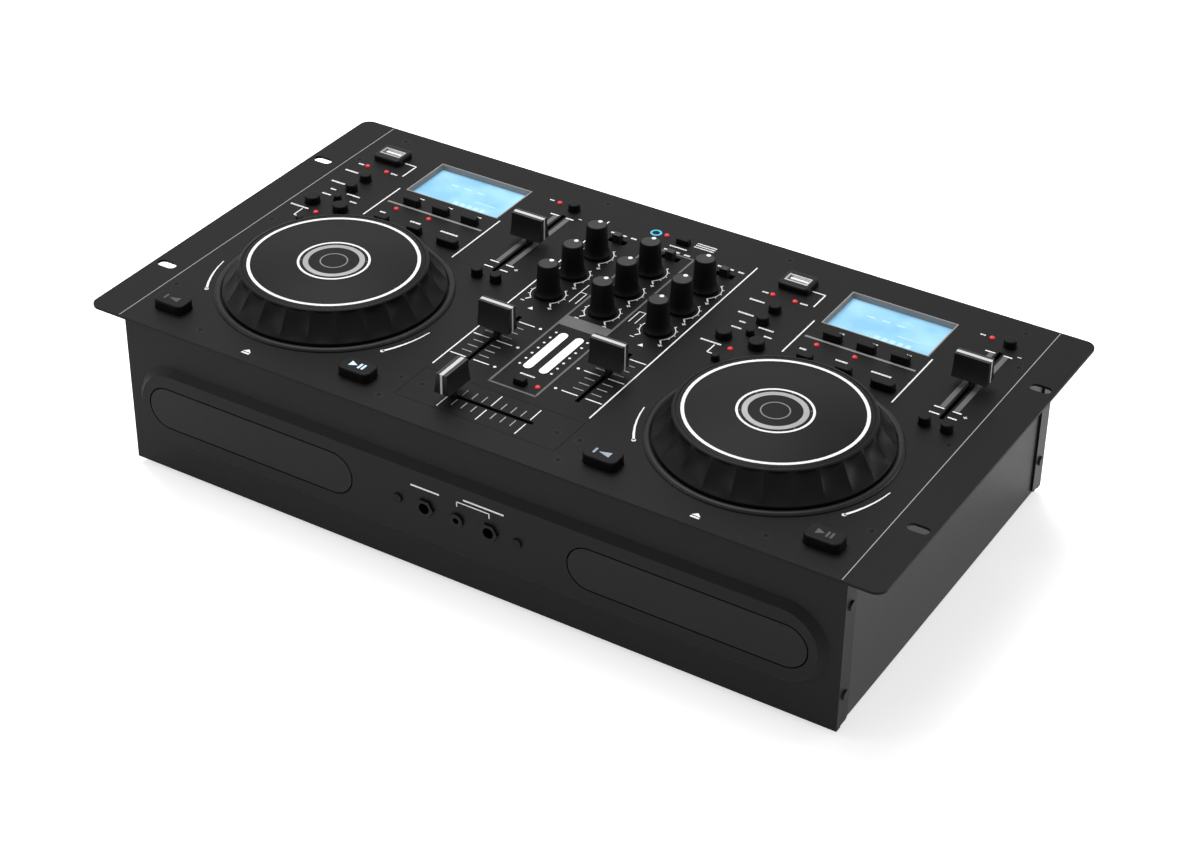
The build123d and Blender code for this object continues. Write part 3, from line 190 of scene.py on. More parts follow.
finishes = {
    # Painted sheet
    "plate": surface("plate_powder_coat", 15, 0.5, grain=2600, bump=0.03, mottle=0.06, specular=0.09),
    "front": surface("front_powder_coat", 23, 0.46, grain=2600, bump=0.025, mottle=0.06, specular=0.1),
    "case": surface("case_powder_coat", 23, 0.4, grain=2200, bump=0.03, mottle=0.08, specular=0.13),
    # Jog wheels
    "jog_top": surface("jog_satin_disc", 15, 0.5, grain=3200, bump=0.015, mottle=0.05, specular=0.09),
    "jog_rubber": surface("jog_skirt_rubber", 14, 0.42, grain=2400, bump=0.02, mottle=0.15, specular=0.08),
    "surround": surface("surround_moulded", 20, 0.4, grain=2000, bump=0.02, specular=0.15),
    "ring_metal": surface("turned_ring", 150, 0.45, grain=1500, bump=0.01, metallic=0.3, mottle=0.2),
    # Controls
    "key": surface("key_moulded", 15, 0.45, grain=2500, bump=0.02, mottle=0.12, specular=0.08),
    "knob": surface("knob_soft_touch", 18, 0.5, grain=2600, bump=0.02, mottle=0.12, specular=0.06),
    "knob_top": surface("knob_top_satin", 54, 0.5, grain=2600, bump=0.015, mottle=0.06, specular=0.12),
    "cap": surface("fader_cap_moulded", 24, 0.34, grain=2400, bump=0.015, mottle=0.12, specular=0.3),
    "tray": surface("tray_moulded", 24, 0.45, grain=2600, bump=0.02, mottle=0.06, specular=0.12),
    # Inks
    "white": printing_ink("white_ink", 244, 0.5, 0.02),
    "grey": printing_ink("grey_ink", 132, 0.55, 0.05),
    "dim": printing_ink("dark_grey_ink", 98, 0.55, 0.05),
    "tick": printing_ink("tick_grey_ink", 165, 0.55, 0.04),
    "cap_line": printing_ink("cap_line_ink", 205, 0.45, 0.03),
    "blue_ink": surface("blue_ink", (60, 190, 232), 0.5, grain=3000, bump=0.004, mottle=0.04),
    # Screws, sockets and feet
    "screw": surface("black_oxide_screw", 12, 0.4, grain=2200, bump=0.02, specular=0.1),
    # Painted shade: the screws' black made darker and duller, for the shade inside their cross recesses
    "recess_shade": surface("screw_recess_painted_shade", 6, 0.6, grain=2200, bump=0.02, specular=0.05),
    "socket": surface("socket_moulded", 14, 0.38, grain=2200, bump=0.02, specular=0.12),
    "socket_red": surface("socket_red", (150, 16, 22), 0.4, grain=1500, bump=0.01, mottle=0.05),
    "port_white": surface("port_white", 245, 0.4, grain=1500, bump=0.01, mottle=0.03),
    "foot": surface("foot_rubber", 22, 0.6, grain=1500, bump=0.05, mottle=0.15, specular=0.1),
    # Metal and inner parts
    "steel": metal("plated_steel", 190, 0.25),
    "zinc": metal("zinc_plate", 105, 0.45, metallic=0.8),
    "brass": metal("contact_brass", (200, 160, 90), 0.3),
    "pot": surface("pot_dark_plate", 26, 0.6, grain=900, bump=0.01, specular=0.05),
    "board": surface("solder_mask", (20, 84, 48), 0.4, grain=700, bump=0.03, mottle=0.2),
    "acetal": surface("acetal", (200, 198, 190), 0.4, grain=1500, bump=0.01),
    # Lamps, lit keys and displays
    "lamp": surface(
        "red_lamp",
        (150, 12, 20),
        0.3,
        grain=1500,
        bump=0.004,
        glow=(220, 20, 36),
        glow_strength=0.6,
    ),
    "meter": surface(
        "meter_light",
        240,
        0.4,
        grain=1500,
        bump=0.004,
        specular=0.2,
        glow=255,
        glow_strength=0.3,
    ),
    "key_symbol_lit": surface(
        "key_symbol",
        (200, 222, 242),
        0.5,
        grain=2600,
        bump=0.004,
        mottle=0.12,
        glow=(150, 190, 230),
        glow_strength=0.3,
    ),
    "key_symbol_mid": surface("key_symbol_mid", (150, 165, 180), 0.5, grain=2600, bump=0.004, mottle=0.15),
    "key_symbol_dim": surface("key_symbol_dim", 86, 0.5, grain=2600, bump=0.004, mottle=0.2, specular=0.1),
    "frame_grey": surface("display_frame_grey", 140, 0.5, grain=2000, bump=0.01, mottle=0.05),
    "screen": screen_material(),
    "screen_mark": surface(
        "screen_mark",
        (132, 176, 202),
        0.4,
        grain=1500,
        bump=0.002,
        mottle=0.02,
        glow=(168, 205, 226),
        glow_strength=0.66,
    ),
    # Liners on the display wells' walls: partly the walls' own grey, partly painted light spilt from the
    # lit panel
    "screen_wall_painted_spill": surface(
        "screen_wall_painted_spill",
        (150, 145, 142),
        0.6,
        grain=1500,
        bump=0.004,
        mottle=0.06,
        specular=0.1,
    ),
}

node_finishes = {
    "plate": ["top_plate", "crossfader_plate"],
    "front": ["front_panel"],
    "case": ["base_pan", "rear_panel"],
    "foot": ["rubber_feet"],
    "screw": ["case_screws"],
    "surround": ["jog_surrounds"],
    "acetal": ["jog_spindles"],
    "board": ["control_boards", "power_supply"],
    "lamp": ["indicator_lamps"],
    "pot": ["control_pots"],
    "zinc": ["drive_frame_a", "drive_frame_b"],
    "meter": ["level_meter"],
    "frame_grey": ["display_modules"],
    "socket": ["usb_sockets", "front_jacks", "rear_sockets"],
    "tray": ["disc_tray_a", "disc_tray_b", "disc_hub_a", "disc_hub_b"],
    "jog_rubber": ["jog_wheel_a", "jog_wheel_b"],
}


def node_finish(node):
    """The finish of a node's own solid."""
    for finish, members in node_finishes.items():
        if node in members:
            return finish
    if node.startswith("knob"):
        return "knob"
    if "fader" in node or node.startswith(("source", "power_rocker")):
        return "cap"
    return "key"


for node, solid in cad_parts.items():
    solid.data.materials.clear()
    solid.data.materials.append(finishes[node_finish(node)])

# -------------------------------------------------------------- mesh building
SHARP_ANGLE = math.radians(35)


def piece(name, mesh, finish, body, smooth=False):
    """Turn an open bmesh into a piece that rides on a body."""
    bmesh.ops.recalc_face_normals(mesh, faces=mesh.faces)
    data = bpy.data.meshes.new(name)
    mesh.to_mesh(data)
    mesh.free()
    data.materials.append(finishes[finish])
    item = bpy.data.objects.new(name, data)
    bpy.context.scene.collection.objects.link(item)
    if smooth:
        for polygon in data.polygons:
            polygon.use_smooth = True
        data.set_sharp_from_angle(angle=SHARP_ANGLE)
    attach(item, body)
    return item


def around(u, v, radius, turn):
    """The point at a radius and an angle about u, v."""
    return u + radius * math.cos(turn), v + radius * math.sin(turn)


def turned(name, x, y, profile, finish, body, steps, radius_at=None):
    """Turn a profile of (radius, height above the plate) about a vertical axis."""
    mesh = bmesh.new()
    rings = []
    for radius, height in profile:
        if radius == 0:
            rings.append([mesh.verts.new(Vector((x, y, PLATE_Z + height)) * MM)])
            continue
        ring = []
        for i in range(steps):
            turn = 2 * math.pi * i / steps
            reach = radius if radius_at is None else radius_at(radius, height, turn)
            ring.append(mesh.verts.new(Vector((*around(x, y, reach, turn), PLATE_Z + height)) * MM))
        rings.append(ring)
    for lower, upper in zip(rings, rings[1:]):
        for i in range(steps):
            j = (i + 1) % steps
            if len(lower) == 1:
                mesh.faces.new((lower[0], upper[i], upper[j]))
            elif len(upper) == 1:
                mesh.faces.new((lower[i], lower[j], upper[0]))
            else:
                mesh.faces.new((lower[i], lower[j], upper[j], upper[i]))
    return piece(name, mesh, finish, body, smooth=True)


def facing(u, v, out):
    """Matrix of a face from the directions of u, of v and out of the face."""
    return Matrix((u, v, out)).transposed()


TOP = facing((1, 0, 0), (0, 1, 0), (0, 0, 1))
FRONT = facing((1, 0, 0), (0, 0, 1), (0, -1, 0))
RIGHT = facing((0, 1, 0), (0, 0, 1), (1, 0, 0))
REAR = facing((-1, 0, 0), (0, 0, 1), (0, 1, 0))

LETTERS = (1.0, 0.62, 0.85, 0.5, 1.15, 0.7)  # widths of the blocks that stand for letters
LETTER_GAP = 0.26
LETTER_LEAST = 0.3
ARC_STEP = 5.0  # degrees
ARC_LEAST = 4  # steps
# Widths of printed strokes
HAIR_LINE = 0.5
FINE_LINE = 0.6
THIN_GUIDE = 0.7
GUIDE_LINE = 0.8
MARK_LINE = 1.0
FRAME_LINE = 1.2
BAR_LINE = 1.6


class Print:
    """Thin ink or trim on a flat face; u and v are millimetres on it, level is its height."""

    def __init__(self, name, level, across=TOP, shift=(0.0, 0.0), thickness=INK):
        self.name = name
        self.mesh = bmesh.new()
        self.across = across
        self.level = level
        self.shift = shift
        self.thickness = thickness

    def point(self, u, v, lift):
        """A vertex at u, v on the face."""
        place = Vector((u + self.shift[0], v + self.shift[1], self.level + lift))
        return self.mesh.verts.new((self.across @ place) * MM)

    def shape(self, outline):
        """A filled outline given as u, v points in order."""
        low = [self.point(u, v, 0) for u, v in outline]
        high = [self.point(u, v, self.thickness) for u, v in outline]
        self.mesh.faces.new(high)
        self.mesh.faces.new(list(reversed(low)))
        for i in range(len(outline)):
            j = (i + 1) % len(outline)
            self.mesh.faces.new((low[i], low[j], high[j], high[i]))

    def box(self, u, v, length, height):
        """A rectangle about u, v."""
        a, b = length / 2, height / 2
        self.shape([(u - a, v - b), (u + a, v - b), (u + a, v + b), (u - a, v + b)])

    def line(self, start, end, width):
        """A straight stroke."""
        run = Vector((end[0] - start[0], end[1] - start[1]))
        side = Vector((-run.y, run.x)).normalized() * width / 2
        a, b = Vector(start), Vector(end)
        self.shape([tuple(p) for p in (a - side, b - side, b + side, a + side)])

    def minus(self, u, v, reach):
        """A minus sign about u, v."""
        self.line((u - reach, v), (u + reach, v), FINE_LINE)

    def plus(self, u, v, reach):
        """A plus sign about u, v."""
        self.minus(u, v, reach)
        self.line((u, v - reach), (u, v + reach), FINE_LINE)

    def label(self, u, v, length, height):
        """A short run of small blocks, as fine print looks from a step away."""
        place = u - length / 2
        end = u + length / 2
        for letter in itertools.cycle(LETTERS):
            if place >= end - LETTER_LEAST:
                break
            width = min(letter, end - place)
            self.box(place + width / 2, v, width, height)
            place += width + LETTER_GAP

    def path(self, points, width):
        """Joined straight strokes."""
        for start, end in zip(points, points[1:]):
            self.line(start, end, width)

    def rim(self, length, width, ends, sides):
        """Walls of two widths around a rectangular opening in the middle."""
        for side in (-1, 1):
            self.box(0, side * (width + sides) / 2, length + 2 * ends, sides)
            self.box(side * (length + ends) / 2, 0, ends, width)

    def arc(self, u, v, radius, width, start=0.0, end=360.0, taper=1.0):
        """A ring or an arc in degrees; taper scales the width at its far end."""
        steps = max(ARC_LEAST, int(abs(end - start) / ARC_STEP))
        closed = abs(end - start) >= 360
        rims = []
        for i in range(steps + (0 if closed else 1)):
            part = i / steps
            turn = math.radians(start + (end - start) * part)
            half = width / 2 * (1 + (taper - 1) * part)
            rims.append((around(u, v, radius - half, turn), around(u, v, radius + half, turn)))
        for i in range(len(rims) if closed else len(rims) - 1):
            (a, b), (c, d) = rims[i], rims[(i + 1) % len(rims)]
            self.shape([a, b, d, c])

    def disc(self, u, v, radius, steps=28):
        """A filled round spot."""
        self.shape([around(u, v, radius, 2 * math.pi * i / steps) for i in range(steps)])

    def finish(self, finish, body, slot):
        """Close the print as one piece."""
        return piece(self.name, self.mesh, finish, body)


# -------------------------------------------------------------- deck printing
# Middle u, middle v, length and height of each label
DECK_LABELS = (
    (-72.3, 81.0, 4.0, 1.3),
    (-48.5, 81.0, 4.5, 1.3),
    (-72.0, 70.6, 9.0, 1.4),
    (-70.6, 55.3, 9.5, 1.4),
    (-68.0, 47.0, 4.0, 1.3),
    (-53.5, 46.8, 9.0, 1.3),
    (-68.2, 40.3, 6.0, 1.3),
    (-49.0, 40.3, 4.5, 1.3),
    (-72.5, 20.2, 13.0, 1.3),
    (-27.5, 40.3, 4.0, 1.4),
    (-4.6, 40.3, 7.0, 1.4),
    (19.0, 40.3, 12.0, 1.4),
    (-17.0, 65.0, 3.0, 1.0),
    (3.0, 65.0, 3.0, 1.0),
    (23.0, 65.0, 3.0, 1.0),
    (47.5, 105.5, 3.0, 1.1),
)
# Guide lines between keys, and the bar under the display
PORT_GUIDE = ((-51.0, 95.8), (-42.8, 95.8), (-42.8, 81.6))
MODE_GUIDE = ((-69.5, 18.6), (-69.5, 10.4), (-66.0, 10.4))
LEFT_DIVIDER = ((-35.8, 69.2), (-35.8, 32.0))
RIGHT_DIVIDER = ((35.2, 68.3), (35.2, 19.2))
DISPLAY_BAR = ((-33.0, 53.0), (32.5, 53.0))
# Scale of the pitch fader
PITCH_U = 63.2
PITCH_MARKS = (91.8, 28.6, 22.4)
PITCH_MARK_START = 2.4
PITCH_MARK_LEFT = 8.2
PITCH_MARK_RIGHT = 7.4
PITCH_SIGN_U = 73.5
PITCH_MINUS_V = 94.6
PITCH_PLUS_V = 26.6
PITCH_SIGN_REACH = 1.1
STRIP_U = 4.0  # from the middle of the pitch slot
STRIP_V = 60.2
STRIP_SIZE = (2.9, 61.0)
# Arcs beside the jog wheel, first and last angle in degrees
JOG_ARCS = ((188.0, 213.0), (-8.0, -33.0))
JOG_ARC_R = 71.0
JOG_ARC_WIDTH = 0.55
JOG_ARC_TAPER = 2.6
JOG_ARC_TIP_R = 1.3
# Open-tray sign, a wedge over a bar
TRAY_SIGN_U = -0.7
TRAY_SIGN_V = -121.7
TRAY_SIGN_REACH = 2.5
TRAY_BAR_DROP = 1.3


def print_deck(deck):
    """White and grey printing of one deck."""
    ink = Print(f"deck_{deck}_white_print", PLATE_Z, shift=(DECK_X[deck], 0.0))
    for u, v, length, height in DECK_LABELS:
        ink.label(u, v, length, height)
    ink.path(PORT_GUIDE, GUIDE_LINE)
    ink.path(MODE_GUIDE, THIN_GUIDE)
    ink.line(*LEFT_DIVIDER, GUIDE_LINE)
    ink.line(*RIGHT_DIVIDER, GUIDE_LINE)
    for v in PITCH_MARKS:
        ink.line((PITCH_U - PITCH_MARK_LEFT, v), (PITCH_U - PITCH_MARK_START, v), MARK_LINE)
        ink.line((PITCH_U + PITCH_MARK_START, v), (PITCH_U + PITCH_MARK_RIGHT, v), MARK_LINE)
    ink.minus(PITCH_SIGN_U, PITCH_MINUS_V, PITCH_SIGN_REACH)
    ink.plus(PITCH_SIGN_U, PITCH_PLUS_V, PITCH_SIGN_REACH)
    # Tapered arcs, each with a wedge at its lower end
    for start, end in JOG_ARCS:
        ink.arc(0.0, JOG_Y, JOG_ARC_R, JOG_ARC_WIDTH, start, end, JOG_ARC_TAPER)
        ink.disc(*around(0.0, JOG_Y, JOG_ARC_R, math.radians(end)), JOG_ARC_TIP_R, steps=6)
    left = (TRAY_SIGN_U - TRAY_SIGN_REACH, TRAY_SIGN_V)
    right = (TRAY_SIGN_U + TRAY_SIGN_REACH, TRAY_SIGN_V)
    ink.shape([left, right, (TRAY_SIGN_U, TRAY_SIGN_V + TRAY_SIGN_REACH)])
    ink.box(TRAY_SIGN_U, TRAY_SIGN_V - TRAY_BAR_DROP, 2 * TRAY_SIGN_REACH, FRAME_LINE)
    ink.finish("white", CASE_BODY, "plate_coat")
    tone = Print(f"deck_{deck}_grey_print", PLATE_Z, shift=(DECK_X[deck], 0.0))
    tone.line(*DISPLAY_BAR, BAR_LINE)
    tone.finish("grey", CASE_BODY, "plate_coat")
    strips = Print(f"deck_{deck}_pitch_strips", PLATE_Z, shift=(DECK_X[deck], 0.0))
    for side in (-1, 1):
        strips.box(PITCH_U + side * STRIP_U, STRIP_V, *STRIP_SIZE)
    strips.finish("dim", CASE_BODY, "plate_coat")


# ------------------------------------------------------------- mixer printing
KNOB_U = (-35.0, 0.0, 35.0)
KNOB_V = (65.5, 40.0, 14.5)
CHANNEL_U = (-35.0, 35.0)
CROSS_V = -97.25
# Scales around the knobs
SCALE_R = 9.9
SCALE_TICK_R = 11.2
SCALE_REACH = 52.0  # degrees to either side
SCALE_TICKS = (-50, -25, 0, 25, 50)  # degrees
KNOB_SIGN_U = 8.8
KNOB_SIGN_V = -12.4
KNOB_SIGN_REACH = 1.2
KNOB_STROKE = ((6.2, 8.0), (8.2, 10.4))  # out from the knob's middle and down
# Scales of the faders, nine ticks each
TICKS = 9
MAJOR_TICKS = (0, 4, 8)
CHANNEL_TICK_V = -18.3  # of the first tick
CHANNEL_PITCH = 5.59
CHANNEL_TICK_START = 2.4
CHANNEL_MAJOR = (12.3, 0.75)  # reach and width
CHANNEL_MINOR = (8.6, 0.55)
CHANNEL_SPOTS = (-18.3, -40.6, -63.0)
CHANNEL_SPOT_U = 16.0
CHANNEL_SPOT_R = 0.9
CHANNEL_WEDGE_HALF = 1.6
CHANNEL_WEDGE_V = (-4.0, -1.2)
CROSS_TICK_U = -24.0  # of the first tick
CROSS_PITCH = 6.0
CROSS_TICK_START = 2.2
CROSS_MAJOR = 12.6
CROSS_MINOR = 8.0
# Level meter with its spots
METER_U = 4.9
METER_V = -34.85
METER_BAR = (5.2, 40.3)
METER_END_STEPS = 6
METER_SPOT_U = 9.9
METER_SPOT_V = -16.7  # of the first spot
METER_SPOT_PITCH = 6.0
METER_SPOT_R = 0.75
METER_SPOTS = 7
# Labels of the switches, at the back edge, and single ones as on the decks
SWITCH_U = (-33.0, 2.0, 37.0)
SWITCH_LABEL_V = 92.2
SWITCH_LABEL_PITCH = 6.6
SWITCH_LABEL = (3.6, 1.4)
BACK_LABEL_U = 13.5
BACK_LABEL_V = (107.5, 105.4, 103.3)
BACK_LABEL = (13.0, 1.0)
SINGLE_LABELS = ((0.0, 97.2, 11.0, 1.2), (0.0, -60.5, 9.0, 1.2))
# Lines that frame the mixer, its middle field and the plate's ends
EDGE_LINE_U = 48.7
EDGE_LINE_V = (101.7, -77.5)
FIELD_LINE_U = 14.4
FIELD_CORNER_U = 15.0
FIELD_V = (90.0, -75.4)
FIELD_BAR = (0.0, -3.3, 27.6, 10.0)  # middle u, middle v, length, height
END_LINE_U = 219.9
END_LINE_V = 129.0
END_LINE_WIDTH = 0.45
# Guide lines between the lower knobs
GUIDE_OUTER_U = 21.0
GUIDE_INNER_U = 17.0
GUIDE_V = (35.0, 26.0, 14.0)
PAIRING_RING = (-19.3, 105.3, 2.8, 1.2)  # middle u, middle v, radius, width


def print_knob_scale(ink, u, v):
    """Arcs and ticks to both sides of a knob, with the signs at the ends of its turn."""
    for side in (0, 180):
        ink.arc(u, v, SCALE_R, HAIR_LINE, side - SCALE_REACH, side + SCALE_REACH)
        for angle in SCALE_TICKS:
            turn = math.radians(side + angle)
            ink.line(around(u, v, SCALE_R, turn), around(u, v, SCALE_TICK_R, turn), HAIR_LINE)
    for side in (-1, 1):
        start, end = ((u + side * out, v - down) for out, down in KNOB_STROKE)
        ink.line(start, end, GUIDE_LINE)
    ink.plus(u + KNOB_SIGN_U, v + KNOB_SIGN_V, KNOB_SIGN_REACH)
    ink.minus(u - KNOB_SIGN_U, v + KNOB_SIGN_V, KNOB_SIGN_REACH)


def print_channel(ink, ticks, u):
    """Ticks of a channel fader, the spots beside them and the wedge over it."""
    for i in range(TICKS):
        v = CHANNEL_TICK_V - CHANNEL_PITCH * i
        layer, (reach, width) = (ink, CHANNEL_MAJOR) if i in MAJOR_TICKS else (ticks, CHANNEL_MINOR)
        for side in (-1, 1):
            layer.line((u + side * CHANNEL_TICK_START, v), (u + side * reach, v), width)
    inwards = 1 if u < 0 else -1
    for v in CHANNEL_SPOTS:
        ink.disc(u + inwards * CHANNEL_SPOT_U, v, CHANNEL_SPOT_R)
    foot, tip = CHANNEL_WEDGE_V
    ink.shape([(u - CHANNEL_WEDGE_HALF, foot), (u + CHANNEL_WEDGE_HALF, foot), (u, tip)])


def print_crossfader(ink, ticks):
    """Ticks of the crossfader."""
    for i in range(TICKS):
        u = CROSS_TICK_U + CROSS_PITCH * i
        layer, reach = (ink, CROSS_MAJOR) if i in MAJOR_TICKS else (ticks, CROSS_MINOR)
        for side in (-1, 1):
            layer.line((u, CROSS_V + side * CROSS_TICK_START), (u, CROSS_V + side * reach), FINE_LINE)


def print_mixer():
    """White and grey printing of the mixer."""
    ink = Print("mixer_white_print", PLATE_Z)
    ticks = Print("mixer_minor_ticks", PLATE_Z)
    for u in KNOB_U:
        for v in KNOB_V:
            print_knob_scale(ink, u, v)
    for u in CHANNEL_U:
        print_channel(ink, ticks, u)
    print_crossfader(ink, ticks)
    edge_high, edge_low = EDGE_LINE_V
    guide_high, guide_middle, guide_low = GUIDE_V
    for side in (-1, 1):
        edge, end = side * EDGE_LINE_U, side * END_LINE_U
        outer, inner = side * GUIDE_OUTER_U, side * GUIDE_INNER_U
        ink.line((edge, edge_high), (edge, edge_low), GUIDE_LINE)
        ink.line((outer, guide_high), (outer, guide_low), HAIR_LINE)
        ink.path([(outer, guide_middle), (inner, guide_middle), (inner, guide_low)], HAIR_LINE)
        for step in range(METER_SPOTS):
            ink.disc(side * METER_SPOT_U, METER_SPOT_V - METER_SPOT_PITCH * step, METER_SPOT_R)
        ticks.line((end, -END_LINE_V), (end, END_LINE_V), END_LINE_WIDTH)
    for u in SWITCH_U:
        for step in (-1, 0, 1):
            ink.label(u + SWITCH_LABEL_PITCH * step, SWITCH_LABEL_V, *SWITCH_LABEL)
    for v in BACK_LABEL_V:
        ink.label(BACK_LABEL_U, v, *BACK_LABEL)
    for u, v, length, height in SINGLE_LABELS:
        ink.label(u, v, length, height)
    ink.finish("white", CASE_BODY, "plate_coat")
    ticks.finish("tick", CASE_BODY, "plate_coat")
    tone = Print("mixer_grey_print", PLATE_Z)
    for u in (-FIELD_LINE_U, FIELD_LINE_U):
        tone.line((u, FIELD_V[0]), (u, FIELD_V[1]), FRAME_LINE)
    for v in FIELD_V:
        tone.line((-FIELD_CORNER_U, v), (FIELD_CORNER_U, v), FRAME_LINE)
    tone.box(*FIELD_BAR)
    tone.finish("dim", CASE_BODY, "plate_coat")
    ring = Print("pairing_ring", PLATE_Z)
    ring.arc(*PAIRING_RING)
    ring.finish("blue_ink", CASE_BODY, "plate_coat")


def round_meter_ends():
    """Masks in the plate's colour that round the ends of the two level bars."""
    mask = Print("level_bar_masks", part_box("level_meter")[1].z / MM)
    half, reach = METER_BAR[0] / 2, METER_BAR[1] / 2
    for middle_u in (-METER_U, METER_U):
        for side in (-1, 1):
            for end in (-1, 1):
                outline = [(middle_u + side * half, METER_V + end * reach)]
                for step in range(METER_END_STEPS + 1):
                    turn = math.pi / 2 * step / METER_END_STEPS
                    u = middle_u + side * half * math.sin(turn)
                    v = METER_V + end * (reach - half + half * math.cos(turn))
                    outline.append((u, v))
                mask.shape(outline)
    mask.finish("plate", CASE_BODY, "plate_coat")


# Label lines on the plateau, with v from the middle height of the trays
LEFT_LABEL_LINE = ((-29.0, 11.5), (-11.0, 11.5))
RIGHT_LABEL_LINE = ((4.0, 14.0), (29.0, 14.0))
JACK_BRACKET = ((0.0, 8.5), (0.0, 11.5), (20.0, 11.5), (20.0, 8.5))


def print_front():
    """Label lines around the jacks on the plateau."""
    ink = Print("front_white_print", -FRONT_Y, across=FRONT, shift=(0.0, TRAY_Z))
    ink.line(*LEFT_LABEL_LINE, MARK_LINE)
    ink.path(JACK_BRACKET, FINE_LINE)
    ink.line(*RIGHT_LABEL_LINE, MARK_LINE)
    ink.finish("white", CASE_BODY, "front_coat")


for deck in DECK_X:
    print_deck(deck)
print_mixer()
round_meter_ends()
print_front()

# ----------------------------------------------------------------- jog wheels
JOG_R = 62.0
DISC_R = 52.5
JOG_HEIGHT = JOG_TOP - PLATE_Z
# Scalloped skirt
SCALLOPS = 24
SCALLOP_DEPTH = 2.0
DIP_SHARPNESS = 0.6  # powers below one broaden the dips
WAVE_SHARPNESS = 0.8
RIM_LOW = 1.0  # underside of the wheel above the plate
RIM_WIDTH = 3.0
RIM_ROUND = 0.5
SKIRT_FOOT = 3.0
SKIRT_TOP = 17.0
SKIRT_STEP = 0.4  # of the skirt behind the rim
SKIRT_HOLLOW = 0.7
SKIRT_STEPS = 26
# Lip of the skirt around the disc
LIP_LOW = 0.15  # under the top of the wheel
LIP_WIDTH = 2.0
GROOVE_DEPTH = 3.0
# Disc with its hub
DISC_LOW = 0.1  # under the top of the wheel
DISC_EDGE = 2.1
HUB_R = 8.0
SPINDLE_R = 4.05
HUB_ROOF = 4.5  # under the top of the wheel
# Rings on the disc: radius and width
JOG_RING = (46.9, 1.8)
EMBLEM_RING = (19.6, 1.3)
BADGE_RING = (15.6, 3.0)
CENTRE_RING = (7.5, 0.7)
SPOT_RING_R = 18.2
SPOT_R = 0.35


def skirt_radius(radius, height, turn):
    """Radius of the scalloped skirt: finger dips that die out towards disc and foot."""
    if not SKIRT_FOOT < height < SKIRT_TOP:
        return radius
    part = (height - SKIRT_FOOT) / (SKIRT_TOP - SKIRT_FOOT)
    dip = math.sin(math.pi * part) ** DIP_SHARPNESS
    wave = abs(math.cos(SCALLOPS * turn / 2)) ** WAVE_SHARPNESS
    return radius - SCALLOP_DEPTH * dip * wave


def skirt_profile():
    """Rim, flared and slightly hollow skirt, and the lip around the disc."""
    foot_r = JOG_R - SKIRT_STEP
    profile = [
        (JOG_R - RIM_WIDTH, RIM_LOW),
        (JOG_R - RIM_ROUND, RIM_LOW),
        (JOG_R, RIM_LOW + RIM_ROUND),
        (JOG_R, SKIRT_FOOT - SKIRT_STEP),
    ]
    for i in range(SKIRT_STEPS + 1):
        part = i / SKIRT_STEPS
        radius = foot_r + (DISC_R - foot_r) * part - SKIRT_HOLLOW * math.sin(math.pi * part)
        profile.append((radius, SKIRT_FOOT + (SKIRT_TOP - SKIRT_FOOT) * part))
    return profile + [
        (DISC_R - 0.3, JOG_HEIGHT - 0.5),
        (DISC_R - 1.1, JOG_HEIGHT - LIP_LOW),
        (DISC_R - LIP_WIDTH, JOG_HEIGHT - LIP_LOW),
        (DISC_R - LIP_WIDTH, JOG_HEIGHT - GROOVE_DEPTH),
        (DISC_R - 2 * LIP_WIDTH, JOG_HEIGHT - GROOVE_DEPTH),
        (JOG_R - RIM_WIDTH, RIM_LOW),
    ]


def disc_profile():
    """Disc with a softened edge and the hub that takes the spindle."""
    return [
        (0, JOG_HEIGHT - DISC_LOW),
        (DISC_R - DISC_EDGE - 0.5, JOG_HEIGHT - DISC_LOW),
        (DISC_R - DISC_EDGE, JOG_HEIGHT - 0.45),
        (DISC_R - DISC_EDGE, JOG_HEIGHT - 2.6),
        (HUB_R, JOG_HEIGHT - GROOVE_DEPTH),
        (HUB_R, RIM_LOW),
        (SPINDLE_R, RIM_LOW),
        (SPINDLE_R, JOG_HEIGHT - HUB_ROOF),
        (0, JOG_HEIGHT - HUB_ROOF),
    ]


def dress_jog(deck):
    """Smooth wheel with a rubber skirt, a satin disc and plain rings."""
    x, body = DECK_X[deck], f"jog_wheel_{deck}"
    skirt = turned(
        f"jog_skirt_{deck}",
        x,
        JOG_Y,
        skirt_profile(),
        "jog_rubber",
        body,
        steps=480,
        radius_at=skirt_radius,
    )
    top = turned(f"jog_disc_{deck}", x, JOG_Y, disc_profile(), "jog_top", body, steps=160)
    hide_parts(body)
    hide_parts(body)
    face = JOG_TOP - DISC_LOW
    ink = Print(f"jog_print_{deck}", face, shift=(x, JOG_Y), thickness=THICK_INK)
    ink.arc(0, 0, *JOG_RING)
    ink.arc(0, 0, *EMBLEM_RING)
    ink.finish("white", body, "jog_plastic")
    badge = Print(f"jog_badge_{deck}", face, shift=(x, JOG_Y), thickness=THICK_INK)
    badge.arc(0, 0, *BADGE_RING)
    badge.finish("ring_metal", body, "jog_plastic")
    fine = Print(f"jog_badge_ring_{deck}", face, shift=(x, JOG_Y), thickness=THICK_INK)
    fine.arc(0, 0, *CENTRE_RING)
    for angle in range(30, 360, 60):
        fine.disc(*around(0, 0, SPOT_RING_R, math.radians(angle)), SPOT_R)
    fine.finish("grey", body, "jog_plastic")


for deck in DECK_X:
    dress_jog(deck)

# ---------------------------------------------------------------------- knobs
KNOB_BORE_R = 4.2
SHAFT_R = 3.0
SHAFT_LOW = -10.6
SHAFT_TOP = 3.0
KNOB_FACE = 19.8
KNOB_FACE_R = 5.2
POINTER_V = 3.7
POINTER_R = 1.3
